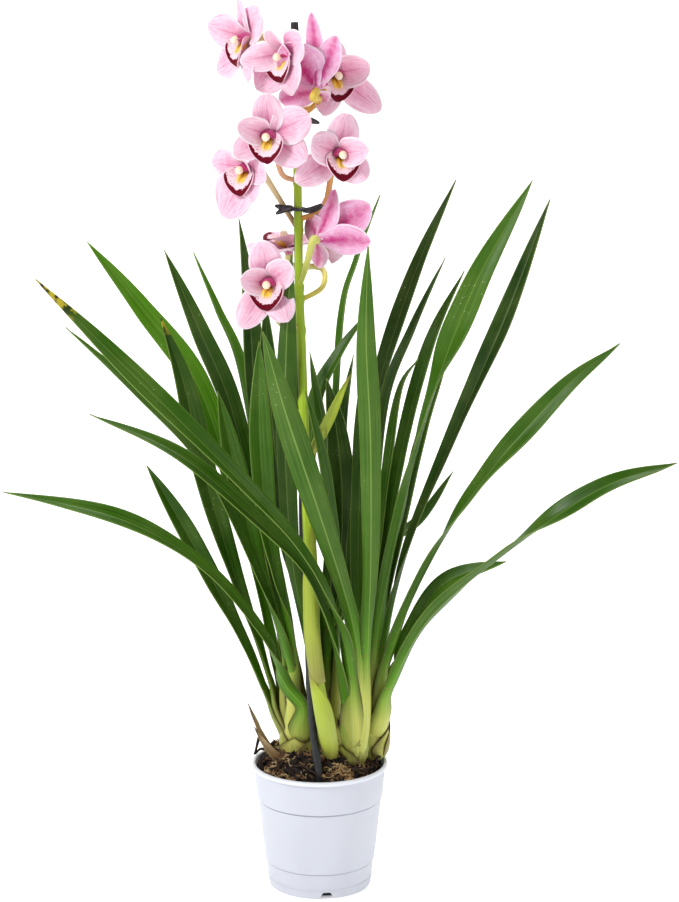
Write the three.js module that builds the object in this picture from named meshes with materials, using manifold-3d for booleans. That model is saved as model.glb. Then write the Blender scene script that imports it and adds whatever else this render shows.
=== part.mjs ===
// A flowering cymbidium orchid in a round plastic nursery pot, tied to a black support stake.
// Millimetres, +Z up, -Y is the front. The origin is the centre of the pot's foot.
import * as THREE from 'three';
import { mergeVertices } from 'three/addons/utils/BufferGeometryUtils.js';
import Module from 'manifold-3d';

const wasm = await Module();
wasm.setup();

// ---------------------------------------------------------------- driving dimensions

const GAP = 0.35; // clearance between pieces that touch in life

const POT = {
  height: 112, rimRadius: 60, rimDepth: 4, collarRadius: 58.4, collarDepth: 31.5, collarStep: 0.6,
  footRadius: 45, wall: 1.6, floorThickness: 2, sides: 36,
  notches: 4, notchAngle: -82, notchHeight: 6.5, notchFoot: 13, notchTop: 7,
  drainHoles: 6, drainRadius: 3.6, drainCircle: 27,
};

const SOIL = { edgeHeight: 107, moundHeight: 124, flatShare: 0.4, slopeShare: 0.48 };

// The stake bows a little; it stands just behind the flower stem.
const STAKE = {
  path: [[2, -42, 34], [1, -44, 75], [0, -44, 110], [-6, -37, 162], [-9.5, -31, 240], [-14.5, -20, 380],
    [-17, -9, 539], [-17.5, -3, 606], [-18.5, 3, 685], [-20, 8, 755]],
  radius: 3.6,
};

// The flower stem's centre line, and its radius from the base to the top.
const STEM = {
  path: [
    [12, -14, 98], [10, -22, 122], [7.5, -44, 150], [2, -51, 183], [-5, -47.5, 227], [-7.5, -40.5, 290],
    [-10, -34, 350], [-12.5, -28, 415], [-14.5, -21, 482], [-16.5, -16, 540], [-17, -11.5, 599],
    [-19.5, -6, 668], [-20, -3, 705], [-21, -2, 728],
  ],
  footRadius: 6.2, topRadius: 2.8,
};

const LEAF = { thickness: 1.6, jointWidth: 9.5, stations: 9 };

// Each shoot is a swollen pseudobulb wrapped in leaf sheaths that fan out from it.
const SHOOTS = {
  left: { centre: [-19, 6], radii: [15, 13], bottom: 113, top: 162 },
  back: { centre: [4, 35], radii: [14, 12], bottom: 113, top: 160 },
  front: { centre: [31, -13], radii: [12, 11], bottom: 113, top: 158 },
  right: { centre: [46, 10], radii: [9, 13], bottom: 113, top: 166 },
};

// The side that a blade faces before it rolls: the front, a little upward.
const FRONT = [0, -0.975, 0.22];

// One entry for each leaf: the points that its midrib passes, from the joint with its sheath to its tip,
// and its greatest width. roll says how far the blade has turned about its midrib from facing the front,
// at each quarter of its length: positive turns the upper side to +X on an upright leaf, 180 turns it
// to the back.
const LEAVES = {
  left: [
    { path: [[-15, -16, 167], [-31, -22, 190], [-53, -34, 241], [-98, -52, 300], [-166, -62, 344],
      [-264, -60, 367]], width: 20, roll: [60, 62, 40, 60] },
    { path: [[-27, -2, 198], [-54, -10, 282], [-96, -16, 377], [-154, -18, 443], [-214, -16, 500]],
      width: 17, roll: [60, 55, 55, 60] },
    { path: [[-32, 22, 198], [-51, 46, 301], [-79, 62, 419], [-106, 66, 486], [-136, 66, 557]],
      width: 22, roll: [60, 30, 15, 20] },
    { path: [[-34, 8, 211], [-56, 14, 291], [-72, 12, 367], [-87, 0, 443]],
      width: 22, roll: [60, 25, 15, 20] },
    { path: [[-26, -2, 214], [-44, -10, 315], [-50, -22, 405], [-50, -36, 491]],
      width: 22, roll: [50, 20, 10, 10] },
    { path: [[-27, 40, 202], [-52, 80, 330], [-72, 108, 444], [-94, 122, 497], [-115, 132, 548]],
      width: 18, roll: [60, 58, 56, 60] },
    { path: [[-51, 14, 173], [-81, 8, 247], [-115, 0, 318], [-148, -10, 380]],
      width: 20, roll: [55, 30, 25, 30] },
    { path: [[-46, 10, 183], [-70, 22, 256], [-101, 34, 363], [-118, 34, 443], [-137, 28, 502]],
      width: 24, roll: [45, 20, 20, 30] },
    { path: [[-39, 26, 187], [-72, 64, 315], [-108, 92, 429], [-160, 104, 501], [-208, 104, 561]],
      width: 25, roll: [60, 35, 12, 15] },
  ],
  back: [
    { path: [[-10, 38, 202], [-38, 60, 316], [-57, 80, 421], [-64, 98, 509], [-73, 120, 580]],
      width: 22, roll: [45, 25, 30, 50] },
    { path: [[-7, 26, 215], [-31, 32, 322], [-43, 38, 428], [-47, 48, 515]],
      width: 22, roll: [20, 10, 0, 0] },
    { path: [[-10, 14, 211], [-24, 4, 295], [-29, -14, 396], [-27, -44, 485], [-22, -64, 566]],
      width: 21, roll: [165, 160, 160, 165] },
    { path: [[8, 28, 195], [17, 38, 266], [20, 44, 338], [15, 48, 400], [6, 52, 446]],
      width: 25, roll: [10, 0, 0, 0] },
    { path: [[3, 44, 211], [11, 66, 297], [5, 84, 384], [-9, 100, 462]],
      width: 16, roll: [-40, -45, -40, -40] },
    { path: [[-4, 48, 209], [-11, 78, 313], [-4, 104, 410], [16, 112, 456], [43, 120, 495]],
      width: 19, roll: [-30, -35, -38, -40] },
    { path: [[8, 48, 210], [13, 100, 345], [21, 142, 486], [34, 156, 538], [55, 168, 597]],
      width: 15, roll: [-60, -66, -64, -55] },
    { path: [[15, 40, 206], [30, 58, 250], [52, 78, 283], [91, 104, 306], [122, 126, 347]],
      width: 13, roll: [-60, -50, -40, -30] },
    { path: [[18, 31, 206], [22, 54, 300], [20, 62, 360], [22, 65, 410], [30, 68, 464]],
      width: 14, roll: [-50, -45, -40, -40] },
  ],
  front: [
    { path: [[33, -30, 222], [23, -46, 273], [0, -76, 355], [-26, -98, 440], [-44, -116, 510]],
      width: 25, roll: [180, 180, 175, 170] },
    { path: [[27, -33, 197], [20, -46, 237], [8, -62, 272], [-9, -68, 308], [-41, -71, 352],
      [-131, -66, 445], [-234, -46, 544]], width: 21, roll: [65, 45, 25, 40] },
    { path: [[22, -25, 168], [17, -34, 196], [11, -45, 232], [1, -57, 268], [-15, -60, 304],
      [-53, -56, 342], [-117, -48, 396], [-193, -36, 429]], width: 19, roll: [70, 50, 42, 50] },
    { path: [[42, -26, 216], [44, -50, 307], [43, -80, 415], [39, -100, 501], [40, -112, 578]],
      width: 20, roll: [180, 180, 180, 180] },
    { path: [[27, -18, 226], [15, -36, 300], [4, -55, 390], [-11, -60, 453]],
      width: 12, roll: [120, 40, 30, 30] },
    { path: [[30, 6, 218], [32, 28, 322], [51, 46, 434], [83, 58, 535], [119, 64, 618]],
      width: 19, roll: [-62, -50, -35, -40] },
    { path: [[36, -2, 214], [34, 10, 291], [35, 16, 344], [37, 20, 397], [40, 22, 449], [41, 24, 488]],
      width: 16, roll: [-20, -10, -10, -10] },
  ],
  right: [
    { path: [[41, 22, 217], [49, 44, 320], [60, 68, 424], [83, 82, 484], [112, 98, 547]],
      width: 16, roll: [-60, -58, -55, -60] },
    { path: [[42, 4, 212], [53, 6, 310], [62, 10, 389], [71, 14, 444], [86, 16, 469]],
      width: 14, roll: [-60, -60, -50, -50] },
    { path: [[49, 15, 209], [61, 30, 314], [77, 42, 401], [99, 54, 479], [127, 64, 539]],
      width: 18, roll: [-60, -48, -45, -50] },
    { path: [[50, -4, 223], [67, -16, 320], [94, -24, 432], [130, -26, 535], [178, -20, 624]],
      width: 26, roll: [-125, -80, -5, 5] },
    { path: [[55, 10, 214], [74, 18, 326], [92, 28, 404], [110, 36, 459]],
      width: 16, roll: [-60, -50, -50, -50] },
    { path: [[58, 1, 216], [78, 4, 303], [115, 10, 398], [162, 20, 508], [198, 30, 604]],
      width: 21, roll: [-66, -56, -30, -40] },
    { path: [[60, -10, 206], [92, -24, 290], [136, -36, 367], [203, -40, 449], [252, -36, 489]],
      width: 22, roll: [-115, -62, -15, 0] },
    { path: [[62, -18, 183], [94, -44, 253], [156, -66, 315], [235, -70, 372], [299, -60, 392]],
      width: 23, roll: [-135, -98, -40, -20] },
    { path: [[63, -2, 186], [82, -6, 236], [110, -16, 278], [160, -30, 300]],
      width: 19, roll: [-50, -40, -35, -40] },
  ],
};

const FLOWER = {
  tepalLength: 40, sepalWidth: 24, petalWidth: 26, tepalThickness: 1.6, lipWidth: 25, columnLength: 15,
};

// at is the middle of the flower; its stalk leaves the stem at the height node and passes the via points.
// turn and tip are the compass angle and the elevation that it faces (0 is the front, 90 is +X). tepals,
// in order, are the upper sepal, the right and left petals and the right and left lower sepals: the
// angle round the flower, the length and the width as shares, and how far it cups forward in degrees.
const FLOWERS = [
  { at: [-55, 0, 740], node: 716, via: [[-38, 4, 728]], turn: -60, tip: 0,
    tepals: [[8, 0.88, 0.8, 35], [58, 1, 1, 15], [-70, 1, 1, 40], [145, 1.12, 1, 25], [-133, 1.18, 1, 35]] },
  { at: [-23, -27, 729], node: 704, via: [], turn: -42, tip: -8,
    tepals: [[20, 0.94, 1, 55], [70, 1, 1, 30], [-102, 1.02, 0.8, 46], [145, 1, 1, 40], [-121, 1, 1, 25]] },
  { at: [-1, -42, 699], node: 672, via: [[-6, -18, 683], [1, -30, 691]], turn: 165, tip: 30,
    tepals: [[4, 1.36, 0.6, 30], [30, 1, 1, 40], [-22, 1.18, 0.9, 20], [117, 1.06, 0.8, 20], [-165, 0.7, 0.8, 45]] },
  { at: [15, 10, 713], node: 680, via: [[-4, 2, 684], [6, 12, 696]], turn: 18, tip: 0,
    tepals: [[-20, 0.94, 1, 40], [74, 0.94, 1, 55], [-70, 0.94, 1, 40], [129, 1.24, 1, 15], [-153, 1.06, 1, 35]] },
  { at: [-39, -44, 663], node: 622, via: [[-31, -26, 631]], turn: -12, tip: 0,
    tepals: [[8, 0.94, 1, 40], [74, 1, 1, 20], [-42, 0.94, 1, 70], [109, 1.02, 1, 10], [-149, 0.94, 1, 60]] },
  { at: [16, -34, 647], node: 590, via: [[5, -18, 603]], turn: 16, tip: 4,
    tepals: [[4, 0.94, 1.1, 35], [82, 1, 0.9, 70], [-74, 0.94, 1, 40], [141, 0.88, 1, 40], [-121, 1.12, 1, 15]] },
  { at: [-57, -26, 635], node: 582, via: [[-24, -2, 592], [-36, -4, 612]], turn: -30, tip: 0,
    tepals: [[36, 0.94, 0.8, 65], [96, 1, 0.8, 40], [-86, 0.94, 1, -5], [145, 1, 1, 30], [-145, 1, 1, 25]] },
  { at: [0, -34, 576], node: 534, via: [[-6, -27, 556]], turn: 120, tip: 10,
    tepals: [[-4, 1.06, 0.9, 45], [82, 1.06, 1, 15], [-54, 1.24, 1, 55], [133, 1, 0.8, 25], [-101, 1.06, 0.8, 40]] },
  { at: [-26, 26, 560], node: 524, via: [[3, -14, 534], [2, 4, 548]], turn: -50, tip: 62,
    tepals: [[0, 0.9, 1, 20], [62, 0.9, 1, 20], [-66, 0.95, 1, 15], [128, 0.9, 1, 20], [-125, 0.9, 1, 20]] },
  { at: [-45, -40, 545], node: 498, via: [[-34, -26, 507]], turn: -10, tip: 4,
    tepals: [[-4, 1, 1, 40], [66, 1, 0.9, 50], [-78, 1, 0.9, 75], [149, 1, 1, 30], [-165, 1.06, 1, 25]] },
];

const CLIPS = [
  { height: 601, turn: 0, wingTilt: 14, wings: [0, 180] },
  { height: 671, turn: 0, wingTilt: -14, wings: [0] },
];

const BRACTS = [
  { from: 0.06, to: 0.19, thickness: 1.2, swell: 1.2 },
  { from: 0.196, to: 0.4, thickness: 1, swell: 0.8 },
];

const SPRUNG_BRACT = { path: [[-7, -38, 394], [2, -49, 413], [12, -55, 434], [20, -60, 453], [27, -63, 468]],
  width: 13, face: -12 };

// Withered sheaths stand round the foot of the left shoots.
const DRY_SHEATHS = [
  { path: [[-47, 8, 119], [-53, 3, 134], [-58, -1, 150], [-63, -4, 166]], width: 10, face: 60 },
  { path: [[-38, -10, 118], [-45, -13, 127], [-52, -15, 138], [-57, -16, 148]], width: 9, face: 40 },
];

// ---------------------------------------------------------------- materials

const material = (name, color, roughness, metalness = 0) =>
  new THREE.MeshStandardMaterial({ name, color, roughness, metalness });

const MATERIALS = {
  pot: material('pot_plastic', '#dfe2f0', 0.45),
  soil: material('bark_mix', '#4a2f24', 0.95),
  leaf: material('leaf_blade', '#3d6b26', 0.42),
  sheath: material('leaf_sheath', '#b4bf5a', 0.5),
  stem: material('flower_stem', '#93b32b', 0.45),
  petal: material('petal', '#eeb2cf', 0.6),
  stake: material('stake_plastic', '#23252a', 0.5),
  dry: material('dry_sheath', '#a98a66', 0.85),
};

// ---------------------------------------------------------------- solids and meshes

function solidOf(geometry) {
  const plain = geometry.index ? geometry.toNonIndexed() : geometry.clone();
  plain.deleteAttribute('normal');
  plain.deleteAttribute('uv');
  const merged = mergeVertices(plain, 1e-4);
  return new wasm.Manifold(new wasm.Mesh({
    numProp: 3,
    vertProperties: new Float32Array(merged.attributes.position.array),
    triVerts: new Uint32Array(merged.index.array),
  }));
}

function meshOf(name, solid, finish) {
  const made = solid.getMesh();
  const positions = new Float32Array(made.numVert * 3);
  for (let i = 0; i < made.numVert; i++) {
    positions.set(made.vertProperties.subarray(i * made.numProp, i * made.numProp + 3), i * 3);
  }
  const geometry = new THREE.BufferGeometry();
  geometry.setAttribute('position', new THREE.BufferAttribute(positions, 3));
  geometry.setIndex(new THREE.BufferAttribute(new Uint32Array(made.triVerts), 1));
  geometry.computeVertexNormals();
  const mesh = new THREE.Mesh(geometry, finish);
  mesh.name = name;
  return mesh;
}

const joined = (solids) => solids.reduce((sum, next) => sum.add(next));

// Skins a row of equal rings into one closed body. Each end is a fan from its ring's first point.
// The diagonals alternate round a ring, so that the two sides of a thin twisted blade stay parallel.
function loft(rings) {
  const count = rings[0].length;
  const positions = rings.flat().flatMap((p) => [p.x, p.y, p.z]);
  const faces = [];
  for (let r = 0; r + 1 < rings.length; r++) {
    for (let i = 0; i < count; i++) {
      const a = r * count + i;
      const b = r * count + ((i + 1) % count);
      if (i % 2) faces.push(a, b, a + count, b, b + count, a + count);
      else faces.push(a, b, b + count, a, b + count, a + count);
    }
  }
  const last = (rings.length - 1) * count;
  for (let i = 1; i + 1 < count; i++) {
    faces.push(0, i + 1, i, last, last + i, last + i + 1);
  }
  const geometry = new THREE.BufferGeometry();
  geometry.setAttribute('position', new THREE.Float32BufferAttribute(positions, 3));
  geometry.setIndex(faces);
  return solidOf(geometry);
}

const vector = (p) => new THREE.Vector3(...p);
const curveThrough = (points) => new THREE.CatmullRomCurve3(points, false, 'catmullrom', 0.5);
const smooth = (x) => THREE.MathUtils.smoothstep(x, 0, 1);

// A direction from a compass angle (0 is the front) and an elevation, in degrees.
function direction(compass, elevation) {
  const a = THREE.MathUtils.degToRad(compass);
  const e = THREE.MathUtils.degToRad(elevation);
  return new THREE.Vector3(Math.sin(a) * Math.cos(e), -Math.cos(a) * Math.cos(e), Math.sin(e));
}

// The side and upper directions of a blade at one place on its midrib.
function bladeFrame(tangent, facing) {
  const upper = facing.clone().addScaledVector(tangent, -facing.dot(tangent)).normalize();
  return { upper, side: new THREE.Vector3().crossVectors(tangent, upper).normalize() };
}

// One ring of a folded blade: the keel's upper side, an edge, the keel's lower side and the other edge.
function bladeRing(centre, frame, halfWidth, foldAngle, thickness) {
  const fold = THREE.MathUtils.degToRad(foldAngle);
  const at = (across, up) => centre.clone()
    .addScaledVector(frame.side, across)
    .addScaledVector(frame.upper, up);
  const out = halfWidth * Math.cos(fold);
  const rise = halfWidth * Math.sin(fold);
  return [at(0, thickness / 2), at(out, rise), at(0, -thickness / 2), at(-out, rise)];
}

// A round tube along a curve. radiusAt gives the radius at each share of the length.
function tube(curve, radiusAt, sides, stations) {
  const rings = [];
  let side = new THREE.Vector3(1, 0, 0);
  for (let i = 0; i <= stations; i++) {
    const tangent = curve.getTangentAt(i / stations);
    side = side.addScaledVector(tangent, -side.dot(tangent)).normalize();
    const other = new THREE.Vector3().crossVectors(tangent, side);
    const centre = curve.getPointAt(i / stations);
    const radius = radiusAt(i / stations);
    rings.push(Array.from({ length: sides }, (_, k) => {
      const angle = (k / sides) * Math.PI * 2;
      return centre.clone()
        .addScaledVector(side, Math.cos(angle) * radius)
        .addScaledVector(other, Math.sin(angle) * radius);
    }));
    side = side.clone();
  }
  return loft(rings);
}

// ---------------------------------------------------------------- pot, soil, stake

const wallRadius = (z) => THREE.MathUtils.lerp(POT.footRadius, POT.collarRadius - POT.collarStep, z / POT.height);

function pot() {
  const { height, wall, collarDepth, collarStep, rimDepth, rimRadius, collarRadius } = POT;
  const collarFoot = height - collarDepth;
  const inside = (z) => wallRadius(z) - wall;
  const floorTop = POT.floorThickness;
  const profile = [
    [0, 0], [wallRadius(0) - 1.2, 0], [wallRadius(0), 1.2],
    [wallRadius(collarFoot), collarFoot], [wallRadius(collarFoot) + collarStep, collarFoot + 1],
    [collarRadius, height - rimDepth], [rimRadius, height - rimDepth], [rimRadius, height - 0.8],
    [rimRadius - 0.8, height], [inside(height), height], [inside(floorTop), floorTop], [0, floorTop],
  ].map(([r, z]) => new THREE.Vector2(r, z));
  const shell = new THREE.LatheGeometry(profile, POT.sides).rotateX(Math.PI / 2);
  let body = solidOf(shell);

  const notchShape = new THREE.Shape([
    new THREE.Vector2(-POT.notchFoot / 2, -1), new THREE.Vector2(POT.notchFoot / 2, -1),
    new THREE.Vector2(POT.notchTop / 2, POT.notchHeight), new THREE.Vector2(-POT.notchTop / 2, POT.notchHeight),
  ]);
  const notchDepth = 14;
  for (let i = 0; i < POT.notches; i++) {
    const notch = new THREE.ExtrudeGeometry(notchShape, { depth: notchDepth, bevelEnabled: false })
      .rotateX(Math.PI / 2).rotateZ(Math.PI / 2)
      .translate(POT.footRadius - notchDepth / 2, 0, 0)
      .rotateZ(THREE.MathUtils.degToRad(POT.notchAngle + (i * 360) / POT.notches));
    body = body.subtract(solidOf(notch));
  }
  for (let i = 0; i < POT.drainHoles; i++) {
    const angle = ((i + 0.5) / POT.drainHoles) * Math.PI * 2;
    const hole = new THREE.CylinderGeometry(POT.drainRadius, POT.drainRadius, 8, 8).rotateX(Math.PI / 2)
      .translate(Math.cos(angle) * POT.drainCircle, Math.sin(angle) * POT.drainCircle, floorTop / 2);
    body = body.subtract(solidOf(hole));
  }
  return body;
}

function soilHeight(x, y) {
  const share = Math.hypot(x, y) / POT.rimRadius;
  const mound = (SOIL.moundHeight - SOIL.edgeHeight) * (1 - smooth((share - SOIL.flatShare) / SOIL.slopeShare));
  const rootHump = 8 * Math.exp(-((x + 42) ** 2 + (y - 22) ** 2) / 220);
  return SOIL.edgeHeight + mound + rootHump;
}

function soil() {
  const bottom = POT.floorThickness + GAP;
  const inside = (z) => wallRadius(z) - POT.wall - GAP - 0.3;
  const profile = [[0, bottom], [inside(bottom), bottom], [inside(SOIL.edgeHeight), SOIL.edgeHeight]];
  const surfaceRings = 6;
  for (let i = 1; i <= surfaceRings; i++) {
    profile.push([inside(SOIL.edgeHeight) * (1 - i / surfaceRings), SOIL.edgeHeight]);
  }
  const geometry = new THREE.LatheGeometry(profile.map(([r, z]) => new THREE.Vector2(r, z)), 24)
    .rotateX(Math.PI / 2);
  const position = geometry.attributes.position;
  for (let i = 0; i < position.count; i++) {
    const [x, y, z] = [position.getX(i), position.getY(i), position.getZ(i)];
    const isSurface = z > SOIL.edgeHeight - 1 && Math.hypot(x, y) < inside(SOIL.edgeHeight) - 1;
    if (isSurface) position.setZ(i, soilHeight(x, y));
  }
  return solidOf(geometry);
}

const stakeCurve = curveThrough(STAKE.path.map(vector));
const stake = (grow = 0) => tube(stakeCurve, () => STAKE.radius + grow, 8, 12);

// ---------------------------------------------------------------- shoots and leaves

function bulb(shoot, grow = 0) {
  const [rx, ry] = shoot.radii;
  const height = (shoot.top - shoot.bottom) / 2;
  return solidOf(new THREE.SphereGeometry(1, 10, 6).rotateX(Math.PI / 2)
    .scale(rx + grow, ry + grow, height + grow)
    .translate(...shoot.centre, shoot.bottom + height));
}

// The midrib of a leaf, from inside its bulb to its tip, and the share of it that is sheath.
function leafLine(shoot, leaf) {
  const points = leaf.path.map(vector);
  const centre = new THREE.Vector3(...shoot.centre, shoot.bottom + 16);
  const reach = 0.3;
  const foot = centre.clone().lerp(new THREE.Vector3(points[0].x, points[0].y, centre.z), reach);
  const curve = curveThrough([foot, ...points]);
  const jointAt = foot.distanceTo(points[0]) / curve.getLength();
  const inward = centre.clone().sub(points[0]).setZ(0).normalize();
  return { curve, jointAt, inward };
}

// A leaf turns from facing its own shoot, at the joint, through the rolls that it has at each quarter.
function facingAt(leaf, inward, tangent, share) {
  const front = vector(FRONT);
  const level = front.addScaledVector(tangent, -front.dot(tangent)).normalize();
  const rolled = (k) => (k === 0 ? inward.clone()
    : level.clone().applyAxisAngle(tangent, THREE.MathUtils.degToRad(leaf.roll[k - 1])));
  const quarter = Math.min(Math.floor(share * 4), 3);
  return rolled(quarter).lerp(rolled(quarter + 1), smooth(share * 4 - quarter));
}

// Half the blade's width along its length: narrow at the joint, widest past the middle, then a point.
function bladeHalfWidth(leaf, share) {
  const grown = THREE.MathUtils.lerp(LEAF.jointWidth, leaf.width, smooth(share / 0.7)) / 2;
  const pointed = share < 0.66 ? 1 : 1 - ((share - 0.66) / 0.34) ** 2;
  return Math.max(grown * pointed, 0.6);
}

const bladeFold = (share) => THREE.MathUtils.lerp(46, 12, smooth(share / 0.4));

function blade(shoot, leaf) {
  const { curve, jointAt, inward } = leafLine(shoot, leaf);
  const start = jointAt + 0.2 / curve.getLength();
  const rings = [];
  for (let i = 0; i <= LEAF.stations; i++) {
    const share = i / LEAF.stations;
    const u = THREE.MathUtils.lerp(start, 1, share);
    const tangent = curve.getTangentAt(u);
    const frame = bladeFrame(tangent, facingAt(leaf, inward, tangent, share));
    rings.push(bladeRing(curve.getPointAt(u), frame, bladeHalfWidth(leaf, share), bladeFold(share), LEAF.thickness));
  }
  return loft(rings);
}

// The sheath below a blade's joint: a flattened tube, broad where it wraps the bulb.
function sheath(shoot, leaf, grow = 0) {
  const { curve, jointAt, inward } = leafLine(shoot, leaf);
  const stations = 2;
  const sides = 6;
  const end = jointAt - (0.2 - grow) / curve.getLength();
  const rings = [];
  for (let i = 0; i <= stations; i++) {
    const share = i / stations;
    const u = end * share;
    const frame = bladeFrame(curve.getTangentAt(u), inward);
    const halfWidth = THREE.MathUtils.lerp(9.5, 4.8, share) + grow;
    const halfDepth = THREE.MathUtils.lerp(9, 4.2, share) + grow;
    const centre = curve.getPointAt(u).addScaledVector(frame.upper, THREE.MathUtils.lerp(0, 2, share));
    rings.push(Array.from({ length: sides }, (_, k) => {
      const angle = (k / sides) * Math.PI * 2;
      return centre.clone()
        .addScaledVector(frame.side, -Math.cos(angle) * halfWidth)
        .addScaledVector(frame.upper, Math.sin(angle) * halfDepth);
    }));
  }
  return loft(rings);
}

// ---------------------------------------------------------------- flower stem, flowers, clips

const stemCurve = curveThrough(STEM.path.map(vector));
const stemRadius = (share) => THREE.MathUtils.lerp(STEM.footRadius, STEM.topRadius, share ** 0.9);
const stem = (grow = 0) => tube(stemCurve, (u) => stemRadius(u) + grow, 8, 20);

// The place on an upright curve at one height.
function pointAtHeight(curve, height) {
  const steps = 200;
  const samples = Array.from({ length: steps + 1 }, (_, i) => curve.getPointAt(i / steps));
  return samples.reduce((best, p) => (Math.abs(p.z - height) < Math.abs(best.z - height) ? p : best));
}

// The flower's own directions: forward out of its face, up, and to its right.
function flowerFrame({ turn, tip }) {
  const forward = direction(turn, tip);
  const right = new THREE.Vector3().crossVectors(new THREE.Vector3(0, 0, 1), forward).normalize();
  return { forward, right, up: new THREE.Vector3().crossVectors(forward, right) };
}

function petalBlade(points, facing, halfWidthAt, foldAt, thickness, stations) {
  const curve = curveThrough(points);
  const rings = [];
  for (let i = 0; i <= stations; i++) {
    const u = i / stations;
    const frame = bladeFrame(curve.getTangentAt(u), facing);
    rings.push(bladeRing(curve.getPointAt(u), frame, halfWidthAt(u), foldAt(u), thickness));
  }
  return loft(rings);
}

// Half the width of a tepal: a narrow claw, broadest past the middle, and a rounded end.
const tepalHalfWidth = (width, u) => (width / 2) * Math.sin(Math.PI * (0.1 + 0.87 * u ** 0.85)) ** 0.75;

function flower(spec, blocked) {
  const { forward, up, right } = flowerFrame(spec);
  const centre = vector(spec.at);
  const place = (r, u, f) => centre.clone()
    .addScaledVector(right, r)
    .addScaledVector(up, u)
    .addScaledVector(forward, f);
  const pieces = [];

  spec.tepals.forEach(([angle, reach, breadth, cup], i) => {
    const isPetal = i === 1 || i === 2;
    const a = THREE.MathUtils.degToRad(angle);
    const outward = right.clone().multiplyScalar(Math.sin(a)).addScaledVector(up, Math.cos(a));
    // Three chords that cup forward less and less: the blade reflexes towards its end.
    const points = [centre.clone().addScaledVector(outward, 2).addScaledVector(forward, isPetal ? 0.6 : -2)];
    for (const [share, extra] of [[0.35, 8], [0.35, 0], [0.3, -12]]) {
      const bend = THREE.MathUtils.degToRad(cup + extra);
      const step = FLOWER.tepalLength * reach * share;
      points.push(points.at(-1).clone()
        .addScaledVector(outward, Math.cos(bend) * step)
        .addScaledVector(forward, Math.sin(bend) * step));
    }
    const cupAngle = THREE.MathUtils.degToRad(cup);
    const facing = forward.clone().multiplyScalar(Math.cos(cupAngle)).addScaledVector(outward, -Math.sin(cupAngle));
    pieces.push(petalBlade(points, facing,
      (u) => tepalHalfWidth(breadth * (isPetal ? FLOWER.petalWidth : FLOWER.sepalWidth), u),
      () => 8, FLOWER.tepalThickness, 4));
  });
  // The lip: a scoop with raised sides that turns down at its front lobe.
  const lipFacing = up.clone().multiplyScalar(0.7).addScaledVector(forward, 0.7);
  pieces.push(petalBlade(
    [place(0, -2.5, -0.5), place(0, -6.5, 7), place(0, -12.5, 13), place(0, -19, 15.5), place(0, -24, 14)],
    lipFacing,
    (u) => Math.max(1.5, (FLOWER.lipWidth / 2) * Math.sin(Math.PI * (0.14 + 0.8 * u)) ** 0.8),
    (u) => THREE.MathUtils.lerp(52, 14, smooth(u * 1.2 - 0.2)), 1.4, 4,
  ));
  // The column arches forward over the lip; the stalk carries the flower from the stem.
  const column = curveThrough([place(0, 0, -4), place(0, 1.5, 5), place(0, -5, FLOWER.columnLength)]);
  pieces.push(tube(column, (u) => (u < 0.2 ? 3.4 : 4.2), 6, 3));
  const stalk = curveThrough([pointAtHeight(stemCurve, spec.node), ...spec.via.map(vector),
    place(0, 0, -13), place(0, 0, -3)]);
  pieces.push(tube(stalk, (u) => THREE.MathUtils.lerp(2.2, 3.2, u), 5, 6));
  return blocked.reduce((body, other) => body.subtract(other), joined(pieces));
}

// A sprung plastic clip: a slot-shaped ring around the stem and the stake, and two finger wings.
function clip({ height, turn, wingTilt, wings }) {
  const onStem = pointAtHeight(stemCurve, height);
  const onStake = pointAtHeight(stakeCurve, height);
  const middle = onStem.clone().lerp(onStake, 0.5);
  const across = onStake.clone().sub(onStem).setZ(0);
  const slot = (radius, Path) => {
    const path = new Path();
    path.absarc(across.length() / 2, 0, radius, -Math.PI / 2, Math.PI / 2, false);
    path.absarc(-across.length() / 2, 0, radius, Math.PI / 2, Math.PI * 1.5, false);
    return path;
  };
  const thickness = 3.4;
  const bore = STAKE.radius + 1.1;
  const ring = slot(bore + 1.5, THREE.Shape);
  ring.holes.push(slot(bore, THREE.Path));
  const depth = { depth: thickness, bevelEnabled: false, curveSegments: 6 };
  const ringSolid = solidOf(new THREE.ExtrudeGeometry(ring, depth)
    .translate(0, 0, -thickness / 2).rotateZ(Math.atan2(across.y, across.x))
    .translate(middle.x, middle.y, middle.z));
  const wingShape = new THREE.Shape([
    new THREE.Vector2(bore + 0.8, -1.2), new THREE.Vector2(bore + 11, -2.2),
    new THREE.Vector2(bore + 15, -0.6), new THREE.Vector2(bore + 11, 2), new THREE.Vector2(bore + 0.8, 1.2),
  ]);
  const wingSolids = wings.map((side) => solidOf(
    new THREE.ExtrudeGeometry(wingShape, { ...depth, depth: 3 })
      .translate(0, 0, -1.5)
      .rotateY(THREE.MathUtils.degToRad(side ? wingTilt : -wingTilt))
      .rotateZ(THREE.MathUtils.degToRad(side + turn))
      .translate(middle.x, middle.y, middle.z),
  ));
  return joined([ringSolid, ...wingSolids]);
}

// Fleshy bracts wrap the lower stem one above another; one more has sprung away from it.
function bract({ from, to, thickness, swell }) {
  const radius = (u) => stemRadius(THREE.MathUtils.lerp(from, to, u)) + GAP + thickness + swell * Math.sin(Math.PI * u);
  const stretch = curveThrough(Array.from({ length: 8 }, (_, i) => stemCurve.getPointAt(
    THREE.MathUtils.lerp(from, to, i / 7),
  )));
  return tube(stretch, radius, 8, 5).subtract(stem(GAP));
}

const sprungBract = () => petalBlade(SPRUNG_BRACT.path.map(vector), direction(SPRUNG_BRACT.face, 0),
  (u) => Math.max(0.7, (SPRUNG_BRACT.width / 2) * Math.sin(Math.PI * (0.25 + 0.72 * u))), () => 25, 1.2, 6);

const drySheath = ({ path, width, face }) => petalBlade(path.map(vector), direction(face, 0),
  (u) => Math.max(0.7, (width / 2) * (1 - u) ** 0.7), () => 26, 1.2, 5);

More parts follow.
